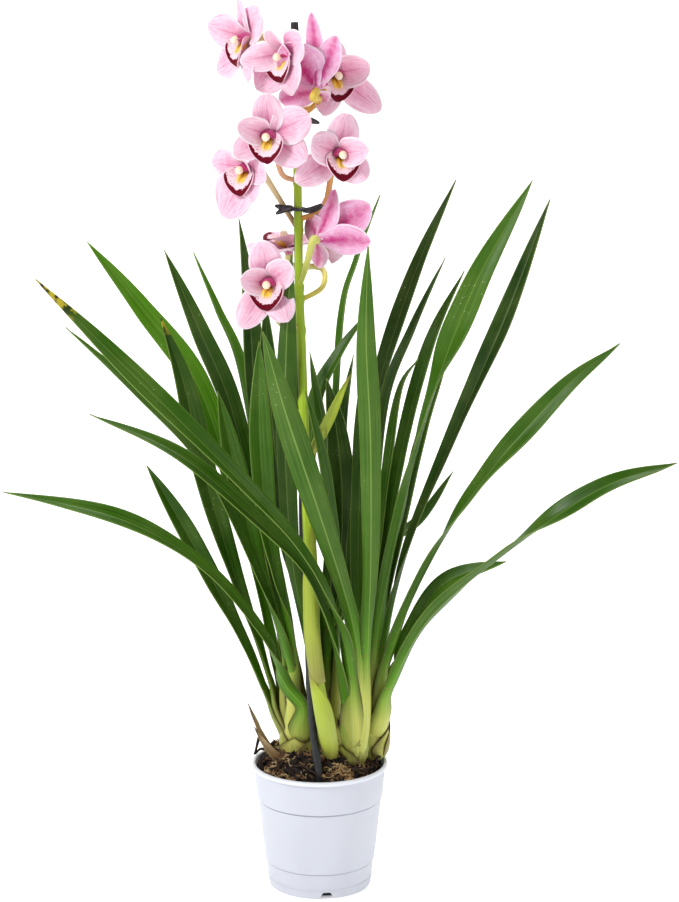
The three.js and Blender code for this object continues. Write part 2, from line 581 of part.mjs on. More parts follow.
// ---------------------------------------------------------------- assembly

const orchid = new THREE.Group();
const add = (name, solid, finish) => orchid.add(meshOf(name, solid, finish));

const shootList = Object.entries(SHOOTS);
const bulbsGrown = shootList.map(([, shoot]) => bulb(shoot, GAP));
const youngBulb = (grow = 0) => solidOf(new THREE.SphereGeometry(1, 8, 6).rotateX(Math.PI / 2)
  .scale(5.5 + grow, 5 + grow, 22 + grow).translate(18.5, -14, 137));

add('pot', pot(), MATERIALS.pot);
add('bark_mix', [...bulbsGrown, youngBulb(GAP), stake(GAP), stem(GAP)]
  .reduce((body, other) => body.subtract(other), soil()), MATERIALS.soil);
add('support_stake', stake(), MATERIALS.stake);

const placed = []; // shoots already made, each grown by the gap
for (const [name, shoot] of shootList) {
  const whole = (grow) => joined([bulb(shoot, grow), ...LEAVES[name].map((leaf) => sheath(shoot, leaf, grow))]);
  const body = [...placed, stem(GAP), stake(GAP)].reduce((sum, other) => sum.subtract(other), whole(0));
  placed.push(whole(GAP));
  add(`${name}_pseudobulb`, body, MATERIALS.sheath);
}
add('young_shoot', [...placed, stem(GAP), stake(GAP)].reduce((sum, other) => sum.subtract(other), youngBulb()),
  MATERIALS.sheath);

for (const [name, shoot] of shootList) {
  LEAVES[name].forEach((leaf, i) => {
    const body = placed.reduce((sum, other) => sum.subtract(other), blade(shoot, leaf));
    add(`${name}_leaf_${i + 1}`, body, MATERIALS.leaf);
  });
}

add('flower_stem', stem(), MATERIALS.stem);
BRACTS.forEach((spec, i) => add(`stem_bract_${i + 1}`, bract(spec), MATERIALS.stem));
FLOWERS.forEach((spec, i) => add(`flower_${i + 1}`, flower(spec, [stem(GAP), stake(GAP)]), MATERIALS.petal));
CLIPS.forEach((spec, i) => add(`support_clip_${i + 1}`, clip(spec), MATERIALS.stake));
add('sprung_bract', sprungBract(), MATERIALS.stem);
DRY_SHEATHS.forEach((spec, i) => add(`dry_sheath_${i + 1}`, drySheath(spec), MATERIALS.dry));

export default orchid;
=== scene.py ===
import math
import random

import bmesh
import bpy
from mathutils import Matrix, Vector, noise


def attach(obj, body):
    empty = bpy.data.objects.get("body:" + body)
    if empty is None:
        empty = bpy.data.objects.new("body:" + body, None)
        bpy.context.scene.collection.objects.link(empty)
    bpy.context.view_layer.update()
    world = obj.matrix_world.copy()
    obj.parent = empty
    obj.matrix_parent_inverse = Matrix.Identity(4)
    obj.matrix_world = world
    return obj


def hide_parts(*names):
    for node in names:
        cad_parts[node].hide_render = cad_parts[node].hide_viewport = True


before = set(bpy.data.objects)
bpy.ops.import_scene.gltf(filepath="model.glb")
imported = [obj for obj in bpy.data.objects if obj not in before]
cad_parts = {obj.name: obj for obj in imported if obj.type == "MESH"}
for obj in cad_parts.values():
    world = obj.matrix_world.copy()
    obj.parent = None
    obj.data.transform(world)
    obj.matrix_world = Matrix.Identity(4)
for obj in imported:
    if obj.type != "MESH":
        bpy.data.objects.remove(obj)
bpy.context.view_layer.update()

# A flowering cymbidium in a white nursery pot. Lengths in the dictionaries are millimetres,
# and become metres where the meshes are made. -Y is the front.
mm = 0.001
bpy.context.scene.view_settings.view_transform = "Standard"
print("frame loaded")


def linear(hexColour):
    channels = [int(hexColour[i:i + 2], 16) / 255 for i in (1, 3, 5)]
    return [c / 12.92 if c <= 0.04045 else ((c + 0.055) / 1.055) ** 2.4 for c in channels] + [1]


def addObject(name, data, soft=False):
    made = bpy.data.objects.new(name, data)
    bpy.context.scene.collection.objects.link(made)
    if soft:
        for face in data.polygons:
            face.use_smooth = True
    return made


# One node with its settings and its links. A number key sets an input by its place.
def addNode(tree, kind, settings=None, links=None):
    made = tree.nodes.new(kind)
    for key, value in (settings or {}).items():
        if isinstance(key, str) and hasattr(made, key):
            setattr(made, key, value)
        else:
            made.inputs[key].default_value = value
    for key, source in (links or {}).items():
        socket = source.outputs[0] if isinstance(source, bpy.types.Node) else source
        tree.links.new(socket, made.inputs[key])
    return made


def lerp(a, b, t):
    return a + (b - a) * t


def smooth(x):
    x = min(max(x, 0), 1)
    return x * x * (3 - 2 * x)


# Points at equal distances along a Catmull-Rom curve through the given ones.
def smoothPath(points, count):
    p = [Vector(q) for q in points]
    p = [2 * p[0] - p[1]] + p + [2 * p[-1] - p[-2]]
    dense = []
    for i in range(1, len(p) - 2):
        for k in range(24):
            t = k / 24
            dense.append(0.5 * (2 * p[i] + (p[i + 1] - p[i - 1]) * t
                                + (2 * p[i - 1] - 5 * p[i] + 4 * p[i + 1] - p[i + 2]) * t * t
                                + (3 * p[i] - p[i - 1] - 3 * p[i + 1] + p[i + 2]) * t ** 3))
    dense.append(p[-2])
    reach = [0]
    for a, b in zip(dense, dense[1:]):
        reach.append(reach[-1] + (b - a).length)
    path, k = [], 0
    for i in range(count):
        goal = reach[-1] * i / (count - 1)
        while k < len(dense) - 2 and reach[k + 1] < goal:
            k += 1
        t = (goal - reach[k]) / max(reach[k + 1] - reach[k], 1e-9)
        path.append(dense[k].lerp(dense[k + 1], min(max(t, 0), 1)))
    return path


def tangents(path):
    return [(path[min(i + 1, len(path) - 1)] - path[max(i - 1, 0)]).normalized() for i in range(len(path))]


# A direction from degrees round from the front towards the right, and degrees above the level.
def compass(turn, tip=0):
    a, e = math.radians(turn), math.radians(tip)
    return Vector((math.sin(a) * math.cos(e), -math.cos(a) * math.cos(e), math.sin(e)))


# What each geometry tree takes in, with its starting values.
treeInputs = {
    "sweptBlade": [("Path", "NodeSocketGeometry", None), ("Stations", "NodeSocketInt", 48),
                   ("Columns", "NodeSocketInt", 9), ("Thickness", "NodeSocketFloat", 0.001),
                   ("Ripple", "NodeSocketFloat", 0.0), ("Ripples", "NodeSocketFloat", 20.0),
                   ("Seed", "NodeSocketFloat", 0.0), ("Upper finish", "NodeSocketMaterial", None),
                   ("Under finish", "NodeSocketMaterial", None)],
    "sweptTube": [("Path", "NodeSocketGeometry", None), ("Sides", "NodeSocketInt", 16),
                  ("Finish", "NodeSocketMaterial", None)],
    "scatteredChips": [("Bed", "NodeSocketGeometry", None), ("Density", "NodeSocketFloat", 30000.0),
                       ("Chip size", "NodeSocketFloat", 0.008), ("Flatness", "NodeSocketFloat", 0.3),
                       ("Seed", "NodeSocketInt", 1), ("Finish", "NodeSocketMaterial", None)],
    "scatteredFibres": [("Bed", "NodeSocketGeometry", None), ("Density", "NodeSocketFloat", 9000.0),
                        ("Fibre length", "NodeSocketFloat", 0.014),
                        ("Fibre radius", "NodeSocketFloat", 0.0003),
                        ("Seed", "NodeSocketInt", 1), ("Finish", "NodeSocketMaterial", None)],
}


def newTree(name):
    tree = bpy.data.node_groups.new(name, "GeometryNodeTree")
    for label, kind, value in treeInputs[name]:
        socket = tree.interface.new_socket(label, in_out="INPUT", socket_type=kind)
        if value is not None:
            socket.default_value = value
    tree.interface.new_socket("Result", in_out="OUTPUT", socket_type="NodeSocketGeometry")
    return tree, addNode(tree, "NodeGroupInput").outputs


# A folded, curled or flat blade along a path. The path's points carry facing (where the upper side looks),
# section (half width, fold angle, curl angle) and extra (three values for the finish).
def makeBladeTree():
    tree, given = newTree("sweptBlade")
    curve = addNode(tree, "GeometryNodeMeshToCurve", links={0: given["Path"]})
    grid = addNode(tree, "GeometryNodeMeshGrid", {"Size X": 1, "Size Y": 1},
                   {"Vertices X": given["Stations"], "Vertices Y": given["Columns"]})
    at = addNode(tree, "ShaderNodeSeparateXYZ", links={0: addNode(tree, "GeometryNodeInputPosition")})
    share = addNode(tree, "ShaderNodeMath", {"operation": "ADD", 1: 0.5, "use_clamp": True},
                    {0: at.outputs["X"]})
    across = addNode(tree, "ShaderNodeMath", {"operation": "MULTIPLY", 1: 2}, {0: at.outputs["Y"]})
    sampled = {}
    for name in ("facing", "section", "extra"):
        held = addNode(tree, "GeometryNodeInputNamedAttribute", {"data_type": "FLOAT_VECTOR", "Name": name})
        sampled[name] = addNode(tree, "GeometryNodeSampleCurve",
                                {"data_type": "FLOAT_VECTOR", "mode": "FACTOR"},
                                {"Curves": curve, "Value": held, "Factor": share})
    tangent = sampled["facing"].outputs["Tangent"]
    facing = sampled["facing"].outputs["Value"]
    dot = addNode(tree, "ShaderNodeVectorMath", {"operation": "DOT_PRODUCT"}, {0: facing, 1: tangent})
    along = addNode(tree, "ShaderNodeVectorMath", {"operation": "SCALE"},
                    {0: tangent, "Scale": dot.outputs["Value"]})
    level = addNode(tree, "ShaderNodeVectorMath", {"operation": "SUBTRACT"}, {0: facing, 1: along})
    upper = addNode(tree, "ShaderNodeVectorMath", {"operation": "NORMALIZE"}, {0: level})
    side = addNode(tree, "ShaderNodeVectorMath", {"operation": "CROSS_PRODUCT"}, {0: tangent, 1: upper})
    section = addNode(tree, "ShaderNodeSeparateXYZ", links={0: sampled["section"].outputs["Value"]}).outputs
    # across the blade: an arc of the curl angle, its two halves folded up about the keel
    turn = addNode(tree, "ShaderNodeMath", {"operation": "MULTIPLY"}, {0: across, 1: section["Z"]})
    outSine = addNode(tree, "ShaderNodeMath", {"operation": "SINE"}, {0: turn})
    outShare = addNode(tree, "ShaderNodeMath", {"operation": "DIVIDE"}, {0: outSine, 1: section["Z"]})
    foldCos = addNode(tree, "ShaderNodeMath", {"operation": "COSINE"}, {0: section["Y"]})
    outFold = addNode(tree, "ShaderNodeMath", {"operation": "MULTIPLY"}, {0: outShare, 1: foldCos})
    out = addNode(tree, "ShaderNodeMath", {"operation": "MULTIPLY"}, {0: outFold, 1: section["X"]})
    turnCos = addNode(tree, "ShaderNodeMath", {"operation": "COSINE"}, {0: turn})
    lift = addNode(tree, "ShaderNodeMath", {"operation": "SUBTRACT", 0: 1}, {1: turnCos})
    liftShare = addNode(tree, "ShaderNodeMath", {"operation": "DIVIDE"}, {0: lift, 1: section["Z"]})
    square = addNode(tree, "ShaderNodeMath", {"operation": "MULTIPLY_ADD", 2: 0.01}, {0: across, 1: across})
    keel = addNode(tree, "ShaderNodeMath", {"operation": "SQRT"}, {0: square})
    keelUp = addNode(tree, "ShaderNodeMath", {"operation": "SUBTRACT", 1: 0.1}, {0: keel})
    foldSine = addNode(tree, "ShaderNodeMath", {"operation": "SINE"}, {0: section["Y"]})
    rise = addNode(tree, "ShaderNodeMath", {"operation": "MULTIPLY_ADD"},
                   {0: keelUp, 1: foldSine, 2: liftShare})
    up = addNode(tree, "ShaderNodeMath", {"operation": "MULTIPLY"}, {0: rise, 1: section["X"]})
    # a ripple that grows towards the edges
    length = addNode(tree, "GeometryNodeCurveLength", links={0: curve})
    metres = addNode(tree, "ShaderNodeMath", {"operation": "MULTIPLY"}, {0: share, 1: length})
    waves = addNode(tree, "ShaderNodeMath", {"operation": "MULTIPLY"}, {0: metres, 1: given["Ripples"]})
    wavePlace = addNode(tree, "ShaderNodeCombineXYZ", links={"X": waves, "Y": across, "Z": given["Seed"]})
    rough = addNode(tree, "ShaderNodeTexNoise", {"Scale": 1, "Detail": 1}, {"Vector": wavePlace})
    centred = addNode(tree, "ShaderNodeMath", {"operation": "SUBTRACT", 1: 0.5}, {0: rough.outputs["Fac"]})
    swell = addNode(tree, "ShaderNodeMath", {"operation": "MULTIPLY"}, {0: centred, 1: square})
    ripple = addNode(tree, "ShaderNodeMath", {"operation": "MULTIPLY_ADD"},
                     {0: swell, 1: given["Ripple"], 2: up})
    sideways = addNode(tree, "ShaderNodeVectorMath", {"operation": "SCALE"}, {0: side, "Scale": out})
    upwards = addNode(tree, "ShaderNodeVectorMath", {"operation": "SCALE"}, {0: upper, "Scale": ripple})
    offset = addNode(tree, "ShaderNodeVectorMath", {"operation": "ADD"}, {0: sideways, 1: upwards})
    goal = addNode(tree, "ShaderNodeVectorMath", {"operation": "ADD"},
                   {0: sampled["facing"].outputs["Position"], 1: offset})
    # what the finishes read: distances in metres, across from -1 to 1
    toTip = addNode(tree, "ShaderNodeMath", {"operation": "SUBTRACT"}, {0: length, 1: metres})
    size = addNode(tree, "ShaderNodeMath", {"operation": "ABSOLUTE"}, {0: across})
    inside = addNode(tree, "ShaderNodeMath", {"operation": "SUBTRACT", 0: 1}, {1: size})
    toSide = addNode(tree, "ShaderNodeMath", {"operation": "MULTIPLY"}, {0: inside, 1: section["X"]})
    edge = addNode(tree, "ShaderNodeMath", {"operation": "MINIMUM"}, {0: toSide, 1: toTip})
    geometry = grid
    for name, kind, value in (("along", "FLOAT", metres), ("share", "FLOAT", share),
                              ("across", "FLOAT", across),
                              ("toTip", "FLOAT", toTip), ("edge", "FLOAT", edge),
                              ("extra", "FLOAT_VECTOR", sampled["extra"].outputs["Value"])):
        geometry = addNode(tree, "GeometryNodeStoreNamedAttribute", {"data_type": kind, "Name": name},
                           {"Geometry": geometry, "Value": value})
    shaped = addNode(tree, "GeometryNodeSetPosition", links={"Geometry": geometry, "Position": goal})
    raised = addNode(tree, "GeometryNodeFlipFaces", links={0: shaped})
    shell = addNode(tree, "GeometryNodeExtrudeMesh", {"Individual": False},
                    {"Mesh": raised, "Offset Scale": given["Thickness"]})
    under = addNode(tree, "GeometryNodeStoreNamedAttribute",
                    {"data_type": "BOOLEAN", "domain": "FACE", "Name": "underside", "Value": True},
                    {"Geometry": shaped})
    both = addNode(tree, "GeometryNodeJoinGeometry")
    tree.links.new(under.outputs[0], both.inputs[0])
    tree.links.new(shell.outputs[0], both.inputs[0])
    closed = addNode(tree, "GeometryNodeMergeByDistance", {"Distance": 1e-7}, {0: both})
    soft = addNode(tree, "GeometryNodeSetShadeSmooth", {"Shade Smooth": True}, {0: closed})
    real = addNode(tree, "GeometryNodeRealizeInstances", links={0: soft})
    painted = addNode(tree, "GeometryNodeSetMaterial", links={0: real, "Material": given["Upper finish"]})
    isUnder = addNode(tree, "GeometryNodeInputNamedAttribute", {"data_type": "BOOLEAN", "Name": "underside"})
    backed = addNode(tree, "GeometryNodeSetMaterial",
                     links={0: painted, "Selection": isUnder, "Material": given["Under finish"]})
    addNode(tree, "NodeGroupOutput", links={0: backed})
    return tree


# A round tube along a path whose points carry thick (the radius).
def makeTubeTree():
    tree, given = newTree("sweptTube")
    curve = addNode(tree, "GeometryNodeMeshToCurve", links={0: given["Path"]})
    factor = addNode(tree, "GeometryNodeSplineParameter")
    marked = addNode(tree, "GeometryNodeStoreNamedAttribute", {"data_type": "FLOAT", "Name": "share"},
                     {"Geometry": curve, "Value": factor.outputs["Factor"]})
    marked = addNode(tree, "GeometryNodeStoreNamedAttribute", {"data_type": "FLOAT", "Name": "along"},
                     {"Geometry": marked, "Value": factor.outputs["Length"]})
    circle = addNode(tree, "GeometryNodeCurvePrimitiveCircle", {"Radius": 1}, {"Resolution": given["Sides"]})
    turned = addNode(tree, "GeometryNodeStoreNamedAttribute", {"data_type": "FLOAT", "Name": "around"},
                     {"Geometry": circle, "Value": factor.outputs["Factor"]})
    thick = addNode(tree, "GeometryNodeInputNamedAttribute", {"data_type": "FLOAT", "Name": "thick"})
    tube = addNode(tree, "GeometryNodeCurveToMesh", {"Fill Caps": True},
                   {"Curve": marked, "Profile Curve": turned, "Scale": thick})
    soft = addNode(tree, "GeometryNodeSetShadeSmooth", {"Shade Smooth": True}, {0: tube})
    real = addNode(tree, "GeometryNodeRealizeInstances", links={0: soft})
    addNode(tree, "NodeGroupOutput",
            links={0: addNode(tree, "GeometryNodeSetMaterial", links={0: real, "Material": given["Finish"]})})
    return tree


# Broken chips, each with a tone of its own, strewn over a bed.
def makeChipTree():
    tree, given = newTree("scatteredChips")
    shapes = addNode(tree, "GeometryNodeGeometryToInstance")
    for seed in range(5):
        block = addNode(tree, "GeometryNodeMeshCube", {"Vertices X": 4, "Vertices Y": 3, "Vertices Z": 2})
        flat = addNode(tree, "ShaderNodeCombineXYZ", {"X": 1, "Y": 0.42 + 0.1 * seed},
                       {"Z": given["Flatness"]})
        tree.links.new(flat.outputs[0], block.inputs["Size"])
        grain = addNode(tree, "ShaderNodeTexNoise", {"noise_dimensions": "4D", "W": seed * 3.7, "Scale": 2.6})
        push = addNode(tree, "ShaderNodeVectorMath", {"operation": "SUBTRACT", 1: (0.5, 0.5, 0.5)},
                       {0: grain.outputs["Color"]})
        push = addNode(tree, "ShaderNodeVectorMath", {"operation": "SCALE", "Scale": 1.1}, {0: push})
        chip = addNode(tree, "GeometryNodeSetPosition", links={"Geometry": block, "Offset": push})
        tree.links.new(addNode(tree, "GeometryNodeGeometryToInstance", links={0: chip}).outputs[0],
                       shapes.inputs[0])
    points = addNode(tree, "GeometryNodeDistributePointsOnFaces", {"distribute_method": "RANDOM"},
                     {"Mesh": given["Bed"], "Density": given["Density"], "Seed": given["Seed"]})
    turn = addNode(tree, "FunctionNodeRandomValue",
                   {"data_type": "FLOAT_VECTOR", 0: (-0.9, -0.9, 0), 1: (0.9, 0.9, 6.28)},
                   {"Seed": given["Seed"]})
    scale = addNode(tree, "FunctionNodeRandomValue", {"data_type": "FLOAT", 2: 0.35, 3: 1.25},
                    {"Seed": given["Seed"]})
    grown = addNode(tree, "ShaderNodeMath", {"operation": "MULTIPLY"},
                    {0: scale.outputs[1], 1: given["Chip size"]})
    strewn = addNode(tree, "GeometryNodeInstanceOnPoints", {"Pick Instance": True},
                     {"Points": points, "Instance": shapes, "Rotation": turn, "Scale": grown})
    tone = addNode(tree, "FunctionNodeRandomValue", {"data_type": "FLOAT", 2: 0.0, 3: 1.0, "Seed": 77})
    toned = addNode(tree, "GeometryNodeStoreNamedAttribute",
                    {"data_type": "FLOAT", "domain": "INSTANCE", "Name": "tone"},
                    {"Geometry": strewn, "Value": tone.outputs[1]})
    real = addNode(tree, "GeometryNodeRealizeInstances", links={0: toned})
    both = addNode(tree, "GeometryNodeJoinGeometry", links={0: real})
    tree.links.new(given["Bed"], both.inputs[0])
    flatShade = addNode(tree, "GeometryNodeSetShadeSmooth", {"Shade Smooth": False}, {0: both})
    real = addNode(tree, "GeometryNodeRealizeInstances", links={0: flatShade})
    addNode(tree, "NodeGroupOutput",
            links={0: addNode(tree, "GeometryNodeSetMaterial", links={0: real, "Material": given["Finish"]})})
    return tree


# Short bent fibres and root hairs lying over a bed.
def makeFibreTree():
    tree, given = newTree("scatteredFibres")
    arc = addNode(tree, "GeometryNodeCurveArc", {"Resolution": 9, "Radius": 0.45, "Sweep Angle": 2.4})
    bend = addNode(tree, "ShaderNodeTexNoise", {"Scale": 2.2})
    push = addNode(tree, "ShaderNodeVectorMath", {"operation": "SUBTRACT", 1: (0.5, 0.5, 0.5)},
                   {0: bend.outputs["Color"]})
    bent = addNode(tree, "GeometryNodeSetPosition", links={"Geometry": arc, "Offset": push})
    points = addNode(tree, "GeometryNodeDistributePointsOnFaces", {"distribute_method": "RANDOM"},
                     {"Mesh": given["Bed"], "Density": given["Density"], "Seed": given["Seed"]})
    turn = addNode(tree, "FunctionNodeRandomValue",
                   {"data_type": "FLOAT_VECTOR", 0: (-0.7, -0.7, 0), 1: (0.7, 0.7, 6.28)},
                   {"Seed": given["Seed"]})
    scale = addNode(tree, "FunctionNodeRandomValue", {"data_type": "FLOAT", 2: 0.4, 3: 1.2},
                    {"Seed": given["Seed"]})
    grown = addNode(tree, "ShaderNodeMath", {"operation": "MULTIPLY"},
                    {0: scale.outputs[1], 1: given["Fibre length"]})
    strewn = addNode(tree, "GeometryNodeInstanceOnPoints", {},
                     {"Points": points, "Instance": bent, "Rotation": turn, "Scale": grown})
    tone = addNode(tree, "FunctionNodeRandomValue", {"data_type": "FLOAT", 2: 0.0, 3: 1.0, "Seed": 5})
    toned = addNode(tree, "GeometryNodeStoreNamedAttribute",
                    {"data_type": "FLOAT", "domain": "INSTANCE", "Name": "tone"},
                    {"Geometry": strewn, "Value": tone.outputs[1]})
    loose = addNode(tree, "GeometryNodeRealizeInstances", links={0: toned})
    circle = addNode(tree, "GeometryNodeCurvePrimitiveCircle", {"Resolution": 4, "Radius": 1})
    tube = addNode(tree, "GeometryNodeCurveToMesh", {"Fill Caps": True},
                   {"Curve": loose, "Profile Curve": circle, "Scale": given["Fibre radius"]})
    real = addNode(tree, "GeometryNodeRealizeInstances", links={0: tube})
    addNode(tree, "NodeGroupOutput",
            links={0: addNode(tree, "GeometryNodeSetMaterial", links={0: real, "Material": given["Finish"]})})
    return tree


trees = {"sweptBlade": makeBladeTree(), "sweptTube": makeTubeTree(), "scatteredChips": makeChipTree(),
         "scatteredFibres": makeFibreTree()}


# Runs a tree on a mesh and returns the plain mesh object that it makes.
def grow(name, treeName, base, values):
    tree = trees[treeName]
    carrier = addObject(name + ".carrier", base)
    modifier = carrier.modifiers.new("grow", "NODES")
    modifier.node_group = tree
    identifiers = {item.name: item.identifier for item in tree.interface.items_tree if item.in_out == "INPUT"}
    for label, value in values.items():
        modifier[identifiers[label]] = value
    bpy.context.view_layer.update()
    evaluated = carrier.evaluated_get(bpy.context.evaluated_depsgraph_get())
    made = bpy.data.meshes.new_from_object(evaluated)
    made.name = name
    bpy.data.objects.remove(carrier)
    return addObject(name, made)


# A path mesh: its points in metres, and what each point carries.
def pathMesh(name, path, carried):
    base = bpy.data.meshes.new(name + ".path")
    base.from_pydata([p * mm for p in path], [(i, i + 1) for i in range(len(path) - 1)], [])
    for label, values in carried.items():
        isVector = len(values) and hasattr(values[0], "__len__")
        layer = base.attributes.new(label, "FLOAT_VECTOR" if isVector else "FLOAT", "POINT")
        for item, value in zip(layer.data, values):
            if isVector:
                item.vector = value
            else:
                item.value = value
    return base


# A blade piece. Each section holds the half width in mm, the fold in degrees and the curl in radians.
def blade(name, path, facings, sections, bothSides, thickness=1.0, columns=9, ripple=0, ripples=20, seed=0,
          extras=None):
    carried = {"facing": facings,
               "section": [(w * mm, math.radians(fold), max(curl, 0.01) if curl >= 0 else min(curl, -0.01))
                           for w, fold, curl in sections],
               "extra": extras or [(0, 0, 0)] * len(path)}
    base = pathMesh(name, path, carried)
    return grow(name, "sweptBlade", base, {
        "Stations": len(path), "Columns": columns, "Thickness": thickness * mm, "Ripple": ripple * mm,
        "Ripples": float(ripples), "Seed": float(seed), "Upper finish": bothSides[0],
        "Under finish": bothSides[1]})


def tube(name, path, radii, finish, sides=16):
    base = pathMesh(name, path, {"thick": [r * mm for r in radii]})
    return grow(name, "sweptTube", base, {"Sides": sides, "Finish": finish})


def joinPieces(name, pieces):
    with bpy.context.temp_override(active_object=pieces[0], object=pieces[0], selected_objects=pieces,
                                   selected_editable_objects=pieces):
        bpy.ops.object.join()
    pieces[0].name = name
    pieces[0].data.name = name
    return pieces[0]


def place(piece, slot, *nodes):
    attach(piece, "root")
    if nodes:
        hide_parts(*nodes)


# Finishes.
def newFinish(name, values):
    made = bpy.data.materials.new(name)
    made.use_nodes = True
    tree = made.node_tree
    tree.nodes.clear()
    surface = addNode(tree, "ShaderNodeBsdfPrincipled", values)
    addNode(tree, "ShaderNodeOutputMaterial", links={"Surface": surface})
    return made, tree, surface


def setStops(ramp, stops):
    elements = ramp.color_ramp.elements
    while len(elements) < len(stops):
        elements.new(0.5)
    for element, (position, colour) in zip(elements, stops):
        element.position = position
        element.color = linear(colour)


# Living cymbidium leaf: waxy cuticle over long parallel veins, paler at the joint, the midrib and the rim.
def leafFinish(name, underside):
    made, tree, surface = newFinish(name, {
        "Roughness": 0.4 if underside else 0.3, "IOR": 1.42, "Specular IOR Level": 0.24})
    held = {n: addNode(tree, "ShaderNodeAttribute", {"attribute_name": n}).outputs
            for n in ("along", "across", "edge", "toTip", "extra", "withered")}
    extra = addNode(tree, "ShaderNodeSeparateXYZ", links={0: held["extra"]["Vector"]}).outputs
    paint = {}
    hues = {"cool": ("#0a1f07", "#315a10"), "warm": ("#163606", "#58940c")}
    for hue, (dark, light) in hues.items():
        paint[hue] = addNode(tree, "ShaderNodeMix", {"data_type": "RGBA", 6: linear(dark), 7: linear(light)},
                             {0: extra["Y"]}).outputs[2]
    green = addNode(tree, "ShaderNodeMix", {"data_type": "RGBA"},
                    {0: extra["Z"], 6: paint["cool"], 7: paint["warm"]})
    if underside:
        green = addNode(tree, "ShaderNodeMix", {"data_type": "RGBA", 0: 0.25, 7: linear("#56782c")},
                        {6: green.outputs[2]})
    colour = green.outputs[2]
    # broad unevenness in the leaf's own green
    where = addNode(tree, "ShaderNodeTexCoord").outputs["Object"]
    cloud = addNode(tree, "ShaderNodeTexNoise", {"Scale": 26, "Detail": 3}, {"Vector": where})
    cloudShare = addNode(tree, "ShaderNodeMapRange", {1: 0.35, 2: 0.7, 3: 0, 4: 0.1},
                         {0: cloud.outputs["Fac"]})
    colour = addNode(tree, "ShaderNodeMix", {"data_type": "RGBA", 7: linear("#a6bf62")},
                     {0: cloudShare, 6: colour}).outputs[2]
    # veins about 0.8 mm apart, running the length of the leaf
    veinPlace = addNode(tree, "ShaderNodeCombineXYZ")
    stretched = addNode(tree, "ShaderNodeMath", {"operation": "MULTIPLY", 1: 13}, {0: held["across"]["Fac"]})
    drawn = addNode(tree, "ShaderNodeMath", {"operation": "MULTIPLY", 1: 5}, {0: held["along"]["Fac"]})
    tree.links.new(stretched.outputs[0], veinPlace.inputs["X"])
    tree.links.new(drawn.outputs[0], veinPlace.inputs["Y"])
    veins = addNode(tree, "ShaderNodeTexNoise", {"Scale": 1.6, "Detail": 2.5, "Roughness": 0.6},
                    {"Vector": veinPlace})
    veinTone = addNode(tree, "ShaderNodeMapRange", {1: 0.3, 2: 0.7, 3: 0.58, 4: 1.28},
                       {0: veins.outputs["Fac"]})
    colour = addNode(tree, "ShaderNodeVectorMath", {"operation": "SCALE"},
                     {0: colour, "Scale": veinTone}).outputs[0]
    # the sheath below the joint is pale, and the green comes in above it
    greening = addNode(tree, "ShaderNodeMapRange", {"interpolation_type": "SMOOTHSTEP", 1: -0.045, 2: 0.085},
                       {0: extra["X"]})
    pale = addNode(tree, "ShaderNodeMix", {"data_type": "RGBA", 6: linear("#97a531"), 7: linear("#dfdc7e")},
                   {0: veins.outputs["Fac"]})
    mid = addNode(tree, "ShaderNodeMapRange", {"interpolation_type": "SMOOTHSTEP", 1: -0.05, 2: 0.012},
                  {0: extra["X"]})
    fresh = addNode(tree, "ShaderNodeMix", {"data_type": "RGBA", 7: linear("#5f9a16")},
                    {0: mid, 6: pale.outputs[2]})
    # painted shade and light: a sheath is painted a little lighter down its middle and darker towards its
    # margins, where it tucks under the next one
    middle = addNode(tree, "ShaderNodeMath", {"operation": "ABSOLUTE"}, {0: held["across"]["Fac"]})
    tuckShade = addNode(tree, "ShaderNodeMapRange",
                   {"interpolation_type": "SMOOTHSTEP", 1: 0.25, 2: 0.95, 3: 1.08, 4: 0.42},
                   {0: middle})
    tuckShaded = addNode(tree, "ShaderNodeVectorMath", {"operation": "SCALE"},
                     {0: fresh.outputs[2], "Scale": tuckShade})
    colour = addNode(tree, "ShaderNodeMix", {"data_type": "RGBA"},
                     {0: greening, 6: tuckShaded.outputs[0], 7: colour}).outputs[2]
    # dust and dry skin low on the sheaths, with a blotchy painted shade near the soil
    low = addNode(tree, "ShaderNodeMapRange",
                  {"interpolation_type": "SMOOTHSTEP", 1: 0.112, 2: 0.15, 3: 1, 4: 0},
                  {0: addNode(tree, "ShaderNodeSeparateXYZ", links={0: where}).outputs["Z"]})
    flake = addNode(tree, "ShaderNodeTexNoise", {"Scale": 90, "Detail": 5, "Roughness": 0.7},
                    {"Vector": where})
    patchy = addNode(tree, "ShaderNodeMapRange", {1: 0.42, 2: 0.62, 3: 0, 4: 0.85}, {0: flake.outputs["Fac"]})
    dustAndShade = addNode(tree, "ShaderNodeMath", {"operation": "MULTIPLY"}, {0: low, 1: patchy})
    # midrib and thin rim
    rib = addNode(tree, "ShaderNodeMapRange", {1: 0.02, 2: 0.075, 3: 0.4 if underside else 0.2, 4: 0},
                  {0: middle})
    for share, tone in ((dustAndShade, "#8d7545"), (rib, "#a9c46a")):
        colour = addNode(tree, "ShaderNodeMix", {"data_type": "RGBA", 7: linear(tone)},
                         {0: share, 6: colour}).outputs[2]
    rimWidth = addNode(tree, "ShaderNodeMapRange", {3: 0.0024, 4: 0.0007}, {0: greening})
    rimShare = addNode(tree, "ShaderNodeMapRange", {3: 0.9, 4: 0.4}, {0: greening})
    rim = addNode(tree, "ShaderNodeMapRange", {1: 0.0001, 4: 0},
                  {0: held["edge"]["Fac"], 2: rimWidth, 3: rimShare})
    rimTone = addNode(tree, "ShaderNodeMix",
                      {"data_type": "RGBA", 6: linear("#4b3416"), 7: linear("#93ab52")},
                      {0: greening})
    colour = addNode(tree, "ShaderNodeMix", {"data_type": "RGBA"},
                     {0: rim, 6: colour, 7: rimTone.outputs[2]}).outputs[2]
